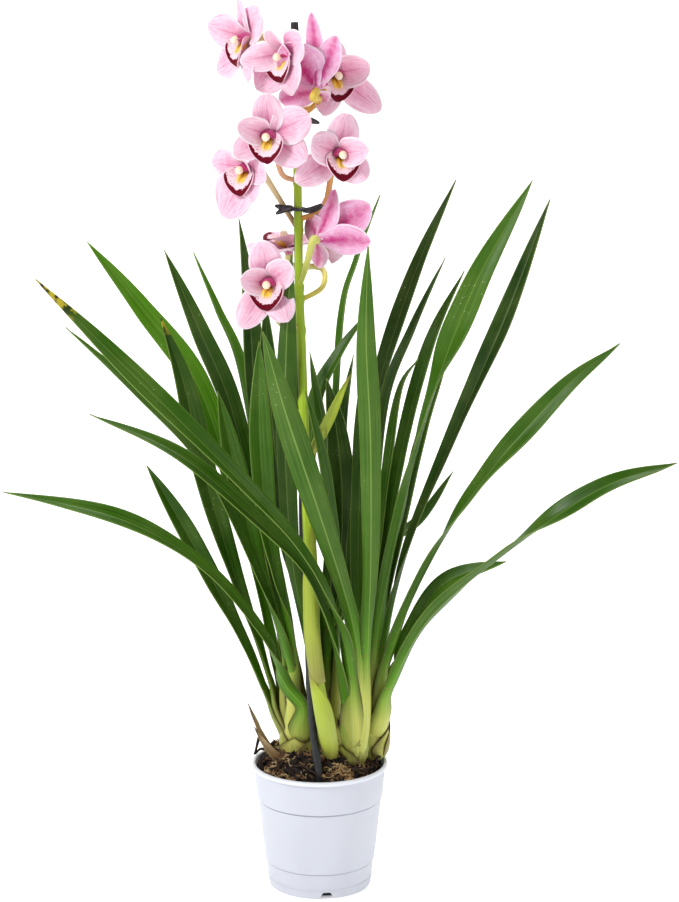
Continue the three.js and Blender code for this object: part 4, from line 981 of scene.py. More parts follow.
def tuftPieces():
    made = []
    for k, spec in enumerate(tufts):
        (x, y), (rx, ry), rows = spec["at"], spec["reach"], tuftForm["rows"]
        points = []
        for i in range(rows + 1):
            for j in range(rows + 1):
                u, v = 2 * i / rows - 1, 2 * j / rows - 1
                px, py = x + rx * u, y + ry * v
                heap = max(1 - ((px - x) / rx) ** 2 - ((py - y) / ry) ** 2, 0)
                points.append((px * mm, py * mm,
                               (soilHeight(px, py) + tuftForm["lift"] + tuftForm["height"] * heap) * mm))
        corners = [i * (rows + 1) + j for i in range(rows) for j in range(rows)]
        patch = bpy.data.meshes.new(f"tuft.{k}")
        patch.from_pydata(points, [], [(c, c + rows + 1, c + rows + 2, c + 1) for c in corners])
        made.append(grow(f"tuft.fibres{k}", "scatteredFibres", patch,
                         {"Density": spec["density"], "Fibre length": tuftForm["fibreLength"] * mm,
                          "Fibre radius": tuftForm["fibreRadius"] * mm, "Seed": 20 + k,
                          "Finish": finishes["coir"]}))
    return made


place(joinPieces("soil.barkMix", [makeSoil()] + rootPieces() + scrapPieces() + tuftPieces()),
      "bark_mix", "bark_mix")
print("growing mix made")

# The stake and the flower stem.
stake = {"path": [[2, -42, 34], [1, -44, 75], [0, -44, 110], [-6, -37, 162], [-9.5, -31, 240],
                  [-14.5, -20, 380],
                  [-17, -9, 539], [-17.5, -3, 606], [-18.5, 3, 685], [-20, 8, 753]], "radius": 3.5}
stem = {"path": [[12, -14, 98], [10, -22, 122], [7.5, -44, 150], [2, -51, 183], [-5, -47.5, 227],
                 [-7.5, -40.5, 290], [-10, -34, 350], [-12.5, -28, 415], [-14.5, -21, 482], [-16.5, -16, 540],
                 [-17, -11.5, 599], [-19.5, -6, 668], [-20, -3, 705], [-21, -2, 728]],
        "footRadius": 6.0, "topRadius": 2.7, "stations": 220,
        # the heights where the flowers' stalks and the bracts leave the stem
        "flowerNodes": [716, 704, 672, 680, 622, 590, 582, 534, 524, 498], "bractNodes": [300, 366, 438]}

stemPath = smoothPath(stem["path"], stem["stations"])
stakePath = smoothPath(stake["path"], 90)


def stemRadius(share):
    return lerp(stem["footRadius"], stem["topRadius"], share ** 0.9)


def atHeight(path, height):
    return min(path, key=lambda p: abs(p.z - height))


def makeStem():
    radii = []
    for i, p in enumerate(stemPath):
        knots = sum(0.9 * math.exp(-((p.z - z) / 3.2) ** 2) for z in stem["flowerNodes"] + stem["bractNodes"])
        radii.append(stemRadius(i / (len(stemPath) - 1)) + min(knots, 1.3))
    return tube("stem.spike", stemPath, radii, finishes["stem"], 24)


place(makeStem(), "flower_stem", "flower_stem")
stakeRadii = [stake["radius"]] * 90
stakeRadii[-1] = 3.1
place(tube("stake.rod", stakePath, stakeRadii, finishes["stake"], 24), "stake_plastic", "support_stake")
print("stem and stake made")

# Four shoots and their leaves.
shoots = {
    "left": {"centre": (-19, 6), "radii": (15, 13), "bottom": 113, "top": 162},
    "back": {"centre": (4, 35), "radii": (14, 12), "bottom": 113, "top": 160},
    "front": {"centre": (31, -13), "radii": (12, 11), "bottom": 113, "top": 158},
    "right": {"centre": (46, 10), "radii": (9, 13), "bottom": 113, "top": 166},
}
front = Vector((0, -0.975, 0.22))
# The sheath's half width falls from sheathBulb to sheathJoint. Above the joint the blade opens over a length.
leafForm = {"jointWidth": 14, "thickness": 0.9, "stations": 72, "columns": 13, "ripple": 1.6, "ripples": 14,
            "sunk": 3, "belly": 18, "clear": 1.2, "sheathJoint": 7.2, "sheathBulb": 16.5, "jointFold": 42,
            "bladeFold": 21, "opening": 60}

# Each leaf: its path from the joint, its greatest width, and its roll in degrees at each quarter of the way.
leaves = {
  "left": [
    { "path": [[-15, -16, 167], [-31, -22, 190], [-53, -34, 241], [-98, -52, 300], [-166, -62, 344],
      [-264, -60, 367]], "width": 20, "roll": [60, 62, 40, 60] },
    { "path": [[-27, -2, 198], [-54, -10, 282], [-96, -16, 377], [-154, -18, 443], [-214, -16, 500]],
      "width": 17, "roll": [60, 55, 55, 60] },
    { "path": [[-32, 22, 198], [-51, 46, 301], [-79, 62, 419], [-106, 66, 486], [-136, 66, 557]],
      "width": 22, "roll": [60, 30, 15, 20] },
    { "path": [[-34, 8, 211], [-56, 14, 291], [-72, 12, 367], [-87, 0, 443]],
      "width": 22, "roll": [60, 25, 15, 20] },
    { "path": [[-26, -2, 214], [-44, -10, 315], [-50, -22, 405], [-50, -36, 491]],
      "width": 22, "roll": [50, 20, 10, 10] },
    { "path": [[-27, 40, 202], [-52, 80, 330], [-72, 108, 444], [-94, 122, 497], [-115, 132, 548]],
      "width": 18, "roll": [60, 58, 56, 60] },
    { "path": [[-51, 14, 173], [-81, 8, 247], [-115, 0, 318], [-148, -10, 380]],
      "width": 20, "roll": [55, 30, 25, 30] },
    { "path": [[-46, 10, 183], [-70, 22, 256], [-101, 34, 363], [-118, 34, 443], [-137, 28, 502]],
      "width": 24, "roll": [45, 20, 20, 30] },
    { "path": [[-39, 26, 187], [-72, 64, 315], [-108, 92, 429], [-160, 104, 501], [-208, 104, 561]],
      "width": 25, "roll": [60, 35, 12, 15] },
  ],
  "back": [
    { "path": [[-10, 38, 202], [-38, 60, 316], [-57, 80, 421], [-64, 98, 509], [-73, 120, 580]],
      "width": 22, "roll": [45, 25, 30, 50] },
    { "path": [[-7, 26, 215], [-31, 32, 322], [-43, 38, 428], [-47, 48, 515]],
      "width": 22, "roll": [20, 10, 0, 0] },
    { "path": [[-10, 14, 211], [-24, 4, 295], [-29, -14, 396], [-27, -44, 485], [-22, -64, 566]],
      "width": 21, "roll": [165, 160, 160, 165] },
    { "path": [[8, 28, 195], [17, 38, 266], [20, 44, 338], [15, 48, 400], [6, 52, 446]],
      "width": 25, "roll": [10, 0, 0, 0] },
    { "path": [[3, 44, 211], [11, 66, 297], [5, 84, 384], [-9, 100, 462]],
      "width": 16, "roll": [-40, -45, -40, -40] },
    { "path": [[-4, 48, 209], [-11, 78, 313], [-4, 104, 410], [16, 112, 456], [43, 120, 495]],
      "width": 19, "roll": [-30, -35, -38, -40] },
    { "path": [[8, 48, 210], [13, 100, 345], [21, 142, 486], [34, 156, 538], [55, 168, 597]],
      "width": 15, "roll": [-60, -66, -64, -55] },
    { "path": [[15, 40, 206], [30, 58, 250], [52, 78, 283], [91, 104, 306], [122, 126, 347]],
      "width": 13, "roll": [-60, -50, -40, -30] },
    { "path": [[18, 31, 206], [22, 54, 300], [20, 62, 360], [22, 65, 410], [30, 68, 464]],
      "width": 14, "roll": [-50, -45, -40, -40] },
  ],
  "front": [
    { "path": [[33, -30, 222], [23, -46, 273], [0, -76, 355], [-26, -98, 440], [-44, -116, 510]],
      "width": 25, "roll": [180, 180, 175, 170] },
    { "path": [[27, -33, 197], [20, -46, 237], [8, -62, 272], [-9, -68, 308], [-41, -71, 352],
      [-131, -66, 445], [-234, -46, 544]], "width": 21, "roll": [65, 45, 25, 40] },
    { "path": [[22, -25, 168], [17, -34, 196], [11, -45, 232], [1, -57, 268], [-15, -60, 304],
      [-53, -56, 342], [-117, -48, 396], [-193, -36, 429]], "width": 19, "roll": [70, 50, 42, 50] },
    { "path": [[42, -26, 216], [44, -50, 307], [43, -80, 415], [39, -100, 501], [40, -112, 578]],
      "width": 20, "roll": [180, 180, 180, 180] },
    { "path": [[27, -18, 226], [15, -36, 300], [4, -55, 390], [-11, -60, 453]],
      "width": 12, "roll": [120, 40, 30, 30] },
    { "path": [[30, 6, 218], [32, 28, 322], [51, 46, 434], [83, 58, 535], [119, 64, 618]],
      "width": 19, "roll": [-62, -50, -35, -40] },
    { "path": [[36, -2, 214], [34, 10, 291], [35, 16, 344], [37, 20, 397], [40, 22, 449], [41, 24, 488]],
      "width": 16, "roll": [-20, -10, -10, -10] },
  ],
  "right": [
    { "path": [[41, 22, 217], [49, 44, 320], [60, 68, 424], [83, 82, 484], [112, 98, 547]],
      "width": 16, "roll": [-60, -58, -55, -60] },
    { "path": [[42, 4, 212], [53, 6, 310], [62, 10, 389], [71, 14, 444], [86, 16, 469]],
      "width": 14, "roll": [-60, -60, -50, -50] },
    { "path": [[49, 15, 209], [61, 30, 314], [77, 42, 401], [99, 54, 479], [127, 64, 539]],
      "width": 18, "roll": [-60, -48, -45, -50] },
    { "path": [[50, -4, 223], [67, -16, 320], [94, -24, 432], [130, -26, 535], [178, -20, 624]],
      "width": 26, "roll": [-125, -80, -5, 5] },
    { "path": [[55, 10, 214], [74, 18, 326], [92, 28, 404], [110, 36, 459]],
      "width": 16, "roll": [-60, -50, -50, -50] },
    { "path": [[58, 1, 216], [78, 4, 303], [115, 10, 398], [162, 20, 508], [198, 30, 604]],
      "width": 21, "roll": [-66, -56, -30, -40] },
    { "path": [[60, -10, 206], [92, -24, 290], [136, -36, 367], [203, -40, 449], [252, -36, 489]],
      "width": 22, "roll": [-115, -62, -15, 0] },
    { "path": [[62, -18, 183], [94, -44, 253], [156, -66, 315], [235, -70, 372], [299, -60, 392]],
      "width": 23, "roll": [-135, -98, -40, -20] },
    { "path": [[63, -2, 186], [82, -6, 236], [110, -16, 278], [160, -30, 300]],
      "width": 19, "roll": [-50, -40, -35, -40] },
  ],
}

# lightness, warmth and the length of the withered tip in mm, for each leaf in turn
leafTones = {
    "left": [(0.5, 0.55, 0), (0.45, 0.5, 0), (0.35, 0.35, 0), (0.62, 0.7, 0), (0.6, 0.65, 0), (0.75, 0.85, 0),
             (0.45, 0.45, 0), (0.4, 0.4, 26), (0.8, 0.85, 0)],
    "back": [(0.4, 0.1, 0), (0.38, 0.1, 0), (0.45, 0.4, 0), (0.16, 0.3, 0), (0.4, 0.5, 0), (0.42, 0.5, 0),
             (0.5, 0.6, 0), (0.35, 0.4, 0), (0.3, 0.3, 0)],
    "front": [(0.42, 0.72, 0), (0.45, 0.5, 55), (0.45, 0.5, 0), (0.5, 0.7, 0), (0.5, 0.5, 0), (0.35, 0.1, 0),
              (0.4, 0.4, 0)],
    "right": [(0.3, 0.3, 0), (0.35, 0.4, 0), (0.45, 0.5, 0), (0.55, 0.65, 0), (0.4, 0.4, 0), (0.2, 0.25, 0),
              (0.5, 0.5, 0), (0.4, 0.55, 0), (0.45, 0.5, 0)],
}


def bladeHalfWidth(leaf, share):
    grown = lerp(leafForm["jointWidth"], leaf["width"], smooth(share / 0.7)) / 2
    pointed = 1 if share < 0.62 else max(1 - ((share - 0.62) / 0.38) ** 2.1, 0) ** 0.9
    return max(grown * pointed, 0.35)


def facingAt(leaf, inward, tangent, share):
    level = (front - tangent * front.dot(tangent)).normalized()

    def rolled(k):
        return inward if k == 0 else Matrix.Rotation(math.radians(leaf["roll"][k - 1]), 3, tangent) @ level

    quarter = min(int(share * 4), 3)
    return rolled(quarter).lerp(rolled(quarter + 1), smooth(share * 4 - quarter))


def makeLeaf(group, index, leaf):
    shoot = shoots[group]
    joint = Vector(leaf["path"][0])
    centre = Vector((*shoot["centre"], joint.z))
    inward = centre - joint
    inward.z = 0
    inward.normalize()
    bottom = shoot["bottom"]
    toEdge = 1 / math.hypot(inward.x / shoot["radii"][0], inward.y / shoot["radii"][1])
    foot = Vector((*shoot["centre"], bottom - leafForm["sunk"])) - inward * toEdge * 0.5
    belly = Vector((*shoot["centre"], bottom + leafForm["belly"])) - inward * (toEdge + leafForm["clear"])
    shoulder = belly.lerp(joint, 0.5) - inward * leafForm["clear"]
    path = smoothPath([foot, belly, shoulder] + leaf["path"], leafForm["stations"])
    directions = tangents(path)
    reach = [0]
    for a, b in zip(path, path[1:]):
        reach.append(reach[-1] + (b - a).length)
    jointIndex = min(range(len(path)), key=lambda i: (path[i] - joint).length)
    jointReach = reach[jointIndex] + (joint - path[jointIndex]).dot(directions[jointIndex])
    bladeLength = reach[-1] - jointReach
    facings, sections, extras = [], [], []
    lightness, warmth, withered = leafTones[group][index]
    for i, tangent in enumerate(directions):
        past = reach[i] - jointReach
        share = min(max(past / bladeLength, 0), 1)
        facings.append(facingAt(leaf, inward, tangent, share))
        below = min(max(-past / jointReach, 0), 1)
        if past < 0:
            halfWidth = lerp(leafForm["sheathJoint"], leafForm["sheathBulb"], smooth(below / 0.6))
            halfWidth *= 1 - 0.5 * smooth((below - 0.6) / 0.4)
            sections.append((halfWidth, 4, lerp(0.95, 1.45, smooth(below))))
        else:
            opening = smooth(past / leafForm["opening"])
            fold = lerp(leafForm["jointFold"], leafForm["bladeFold"], smooth(share / 0.4)) * opening
            sections.append((bladeHalfWidth(leaf, share), fold, lerp(0.95, 0.012, opening)))
        extras.append((past * mm, lightness, warmth))
    seed = list(shoots).index(group) * 10 + index
    piece = blade(f"leaf.{group}{index + 1}", path, facings, sections,
                  (finishes["leafUpper"], finishes["leafUnder"]), leafForm["thickness"], leafForm["columns"],
                  leafForm["ripple"], leafForm["ripples"], seed, extras)
    tip = piece.data.attributes.new("withered", "FLOAT", "POINT")
    tip.data.foreach_set("value", [withered * mm] * len(piece.data.vertices))
    return piece


bulbForm = {"rows": 40, "sides": 72, "ribs": 13}


def makeBulb(name, centre, radii, bottom, top, finish):
    rows, sides, ribs = bulbForm["rows"], bulbForm["sides"], bulbForm["ribs"]
    body = bmesh.new()
    chance = random.Random(name)
    phase = chance.uniform(0, 6)
    rings = []
    for i in range(rows + 1):
        t = i / rows
        swell = math.sin(math.pi * (0.06 + 0.9 * t ** 0.8)) ** 0.7
        ringLine = 0.018 * math.sin(t * 38 + 2 * math.sin(phase))
        ring = []
        for k in range(sides):
            a = 2 * math.pi * k / sides
            rib = 0.03 * math.sin(a * ribs + phase + 2 * t) + ringLine
            s = swell * (1 + rib)
            ring.append(body.verts.new(((centre[0] + math.cos(a) * radii[0] * s) * mm,
                                        (centre[1] + math.sin(a) * radii[1] * s) * mm,
                                        lerp(bottom, top, t) * mm)))
        rings.append(ring)
    skin(body, rings, sides)
    body.faces.new(rings[0][::-1])
    body.faces.new(rings[-1])
    made = bpy.data.meshes.new(name)
    body.to_mesh(made)
    body.free()
    for label, value in (("along", lambda v: v.co.z - bottom * mm),
                         ("share", lambda v: (v.co.z / mm - bottom) / (top - bottom)),
                         ("around", lambda v: math.atan2(v.co.y - centre[1] * mm,
                                                         v.co.x - centre[0] * mm) / 6.283)):
        layer = made.attributes.new(label, "FLOAT", "POINT")
        layer.data.foreach_set("value", [value(v) for v in made.vertices])
    made.materials.append(finish)
    return addObject(name, made, soft=True)


# A bract or scale wrapped round an axis. Its tip may lift off the axis, and narrows past the open share.
def wrapBract(name, axis, radiusAt, faceAngle, widest, finish, thickness=0.9, tipLift=0, openShare=0.5):
    directions = tangents(axis)
    count = len(axis)
    path, facings, sections = [], [], []
    for i, (p, tangent) in enumerate(zip(axis, directions)):
        t = i / (count - 1)
        out = compass(faceAngle)
        out = (out - tangent * out.dot(tangent)).normalized()
        radius = radiusAt(t) + tipLift * smooth((t - 0.6) / 0.4)
        path.append(p + out * radius)
        facings.append(-out)
        shape = 1 if t < openShare else max(1 - ((t - openShare) / (1 - openShare)) ** 1.6, 0)
        angle = max(widest * shape, 0.12)
        sections.append((radius * angle, 0, angle))
    return blade(name, path, facings, sections, (finish, finish), thickness, 25, 0.5, 30, len(name))


# leafless scale sheaths hug each bulb: the side that they face in degrees, and their height
scaleSheaths = {"left": ((-78, 36), (-10, 27), (60, 30)), "back": ((-40, 30), (150, 36)),
                "front": ((-50, 24), (-95, 22)), "right": ((-5, 34), (62, 30), (110, 38))}
scaleForm = {"clear": 3.0, "step": 1.4, "wrap": 1.15, "thickness": 0.7, "tipLift": 1.5, "openShare": 0.35}


def makeScale(group, index, angle, height):
    shoot = shoots[group]
    foot = shoot["bottom"] - leafForm["sunk"]
    axis = [Vector((*shoot["centre"], foot + height * i / 25)) for i in range(26)]
    mean = sum(shoot["radii"]) / 2

    def scaleRadius(t):
        rise = (t * height) / (shoot["top"] - shoot["bottom"])
        bulge = math.sin(math.pi * (0.08 + 0.9 * rise ** 0.8)) ** 0.7
        return mean * bulge + scaleForm["clear"] + scaleForm["step"] * index

    piece = wrapBract(f"scale.{group}{index}", axis, scaleRadius, angle, scaleForm["wrap"],
                      finishes["leafUnder"], scaleForm["thickness"], scaleForm["tipLift"],
                      scaleForm["openShare"])
    layer = piece.data.attributes["extra"]
    layer.data.foreach_set("vector", [-0.035 - 0.02 * index, 0.5, 0.6] * len(piece.data.vertices))
    return piece


for group, shoot in shoots.items():
    bulb = makeBulb(f"bulb.{group}", shoot["centre"], shoot["radii"],
                    shoot["bottom"] - leafForm["sunk"], shoot["top"], finishes["bulb"])
    scales = [makeScale(group, k, angle, height) for k, (angle, height) in enumerate(scaleSheaths[group])]
    place(joinPieces(bulb.name, [bulb] + scales), "leaf_sheath", f"{group}_pseudobulb")
    for index, leaf in enumerate(leaves[group]):
        place(makeLeaf(group, index, leaf), "leaf_blade", f"{group}_leaf_{index + 1}")
    print(f"{group} shoot made")


# Bracts on the stem, a bract that has sprung free, the young shoot and the dry sheaths.
def stemStretch(start, end, count=40):
    last = len(stemPath) - 1
    return [stemPath[round(lerp(start, end, i / (count - 1)) * last)] for i in range(count)]


# where each bract starts and ends as a share of the stem, how far it swells, the side that it faces, and the
# half angle in radians that it wraps
bracts = [
    {"node": "stem_bract_1", "from": 0.05, "to": 0.19, "swell": 1.3, "face": -70, "wrap": 2.9},
    {"node": "stem_bract_2", "from": 0.175, "to": 0.4, "swell": 0.9, "face": 80, "wrap": 2.8},
]
for spec in bracts:
    stretch = stemStretch(spec["from"], spec["to"])
    stretch = smoothPath([stretch[0], stretch[10], stretch[20], stretch[30], stretch[-1]], 40)

    def bractRadius(t, spec=spec):
        return stemRadius(lerp(spec["from"], spec["to"], t)) + 1.3 + spec["swell"] * math.sin(math.pi * t)

    place(wrapBract("bract." + spec["node"][-1], stretch, bractRadius, spec["face"], spec["wrap"],
                    finishes["bract"]),
          "green_bract", spec["node"])


def leafletSections(width, count, fold, curl, shape):
    return [(max(width / 2 * shape(i / (count - 1)), 0.3), fold, curl) for i in range(count)]


sprungBract = {"path": [[-7, -38, 394], [2, -49, 413], [12, -55, 434], [20, -60, 453], [27, -63, 468]],
               "width": 10.5, "face": -12}


def makeSprungBract():
    path = smoothPath(sprungBract["path"], 36)
    return blade("bract.sprung", path, [compass(sprungBract["face"])] * 36,
                 leafletSections(sprungBract["width"], 36, 10, 0.8,
                                 lambda u: math.sin(math.pi * (0.2 + 0.8 * u)) ** 0.8),
                 (finishes["bract"], finishes["bract"]), 0.8, 11, 0.6, 30, 4)


place(makeSprungBract(), "green_bract", "sprung_bract")

# its scales: the side that each faces, and where it starts and ends as a share of the shoot
youngShoot = {"path": [(18.5, -14, 114), (18.4, -14.3, 130), (18.2, -14.6, 145), (18.2, -15, 159)],
              "footRadius": 4.6, "tipRadius": 0.8,
              "scales": ((-30, 0, 0.55), (100, 0.05, 0.75), (-120, 0.2, 0.95))}
shootAxis = smoothPath(youngShoot["path"], 30)
shootRadii = [lerp(youngShoot["footRadius"], youngShoot["tipRadius"], smooth((i / 29 - 0.25) / 0.75))
              for i in range(30)]
youngParts = [tube("young.core", shootAxis, shootRadii, finishes["youngShoot"], 16)]
for k, (face, low, high) in enumerate(youngShoot["scales"]):
    stretch = shootAxis[int(low * 29):int(high * 29) + 1]

    def scaleRadius(t, low=low, high=high, k=k):
        return shootRadii[int(lerp(low, high, t) * 29)] + 0.6 + 0.3 * k

    youngParts.append(wrapBract(f"young.scale{k}", stretch, scaleRadius, face, 2.4, finishes["youngShoot"],
                                0.5, 0.5))
place(joinPieces("shoot.young", youngParts), "leaf_sheath", "young_shoot")

drySheaths = [
    {"path": [[-47, 8, 119], [-53, 3, 134], [-58, -1, 150], [-63, -4, 166]], "width": 10, "face": 60},
    {"path": [[-38, -10, 118], [-45, -13, 127], [-52, -15, 138], [-57, -16, 148]], "width": 9, "face": 40},
]
for k, spec in enumerate(drySheaths):
    piece = blade(f"sheath.dry{k + 1}", smoothPath(spec["path"], 30), [compass(spec["face"])] * 30,
                  leafletSections(spec["width"] * 1.15, 30, 12, 0.7, lambda u: (1 - u) ** 0.7),
                  (finishes["drySheath"], finishes["drySheath"]), 0.6, 11, 3.0, 60, k + 2)
    place(piece, "dry_sheath", f"dry_sheath_{k + 1}")
print("bracts and sheaths made")

# The flowers.
flowerForm = {"tepalLength": 40, "sepalWidth": 27, "petalWidth": 29, "thickness": 0.9,
              "stations": 30, "columns": 17, "ripple": 2.4, "ripples": 34}
# The paths below go up and forward from the flower's middle; the callus ridges' go aside first.
lipForm = {"path": [(-2.5, -0.5), (-5.5, 6.5), (-10, 12), (-15, 15), (-19.5, 15.4), (-23, 13.6)],
           "halfWidth": 28.5 * 0.58, "thickness": 0.9, "stations": 32, "columns": 23, "ripple": 2.2,
           "ripples": 60,
           "callus": [(1.4, -3.8, 5), (2.6, -6.4, 9.5), (3.0, -9.6, 13.4), (1.9, -11.8, 14.6)]}
columnForm = {"core": [(0, -4), (0.4, 3), (-0.2, 9), (-1.6, 12.5)],
              "hood": [(3.4, -3), (4.6, 3), (4.4, 9), (2.2, 14), (-0.4, 16.6)], "hoodThickness": 1.4,
              "cap": [(-0.2, 13.2), (-1.6, 16.2), (-4.4, 17.6)], "capRadius": 3.4}

# Each flower's middle, what its stalk passes through, and where it looks: turn and tip in degrees.
# Its tepals are the upper sepal, two petals and two lower sepals: angle from upright, reach, breadth, cup.
flowers = [
  { "at": [-55, 0, 740], "via": [[-38, 4, 728]], "turn": -60, "tip": 0,
    "tepals": [[8, 0.93, 0.8, 30], [58, 1, 1.15, 15], [-70, 1, 1.05, 40], [145, 1.12, 1, 25],
               [-128, 1.14, 1.45, 24]] },
  { "at": [-23, -27, 729], "via": [], "turn": -42, "tip": -8,
    "tepals": [[20, 0.94, 1, 55], [70, 1, 1, 30], [-96, 1.0, 0.85, 46], [145, 1.05, 1.3, 35],
               [-135, 1.05, 1.3, 25]] },
  { "at": [-1, -42, 699], "via": [[-6, -18, 683], [1, -30, 691]], "turn": 165, "tip": 30, "lip": 0.5,
    "tepals": [[3, 1.56, 0.6, 28], [36, 1.1, 1.45, 14], [-24, 1.14, 0.75, 24], [117, 1.06, 0.9, 20],
               [176, 0.55, 0.7, 40]] },
  { "at": [12, 0, 711], "via": [[-4, 2, 684], [6, 12, 696]], "turn": 18, "tip": 0,
    "tepals": [[-20, 0.94, 1, 40], [74, 0.94, 1, 55], [-70, 0.94, 1, 40], [129, 1.24, 1, 15],
               [-153, 1.06, 1, 35]] },
  { "at": [-39, -44, 663], "via": [[-31, -26, 631]], "turn": -12, "tip": 0,
    "tepals": [[2, 0.98, 1, 35], [66, 1.02, 1.1, 20], [-64, 0.94, 0.85, 58], [124, 0.98, 1.15, 22],
               [-122, 0.98, 0.9, 45]] },
  { "at": [16, -34, 647], "via": [[5, -18, 603]], "turn": 16, "tip": 4,
    "tepals": [[4, 0.94, 1.1, 35], [82, 1, 0.9, 70], [-74, 0.94, 1, 40], [141, 0.88, 1, 40],
               [-121, 1.12, 1, 15]] },
  { "at": [-57, -26, 635], "via": [[-24, -2, 592], [-36, -4, 612]], "turn": -30, "tip": 0,
    "tepals": [[36, 0.94, 0.8, 65], [96, 1, 0.8, 40], [-86, 0.94, 1, -5], [150, 0.9, 0.8, 35],
               [-158, 1.15, 1.5, 22]] },
  { "at": [0, -34, 576], "neck": 7, "via": [[-11, -31, 551]], "turn": 138, "tip": 8,
    "tepals": [[-4, 1.1, 0.9, 35], [70, 0.8, 0.9, 30], [-50, 1.26, 1.15, 45], [150, 0.8, 0.8, 25],
               [-96, 1.1, 1.0, 35]] },
  { "at": [-26, 26, 560], "via": [[3, -14, 534], [2, 4, 548]], "turn": -50, "tip": 77,
    "tepals": [[0, 0.9, 1, 20], [62, 0.9, 1, 20], [-66, 0.95, 1, 15], [128, 0.9, 1, 20],
               [-125, 0.9, 1, 20]] },
  { "at": [-40, -40, 541], "via": [[-34, -26, 507]], "turn": -10, "tip": 4,
    "tepals": [[-4, 1.02, 1.1, 35], [56, 0.92, 0.9, 45], [-82, 0.8, 0.85, 55], [149, 1, 1, 30],
               [-150, 1.14, 1, 25]] },
]

# each stalk's colours, from the stem to the flower
stalkTones = [("#c9b25c", "#d9c98a"), ("#cdb24e", "#dcc98a"), ("#c98a35", "#e0c24f"), ("#d2a870", "#dfc08c"),
              ("#d6a171", "#e2bf96"), ("#cf8f48", "#d8a765"), ("#b98a58", "#efe3b0"), ("#a9bf3c", "#d3d572"),
              ("#cfc04a", "#e2da8a"), ("#d5cf7a", "#e6dfa6")]


# a tepal's outline: a narrow claw, broad past the middle, a rounded end with a slight point
def tepalShare(u):
    claw = lerp(0.42, 1, smooth(u / 0.45))
    end = 1 if u < 0.42 else max(1 - ((u - 0.42) / 0.58) ** 2.5, 0) ** 0.62
    return claw * end


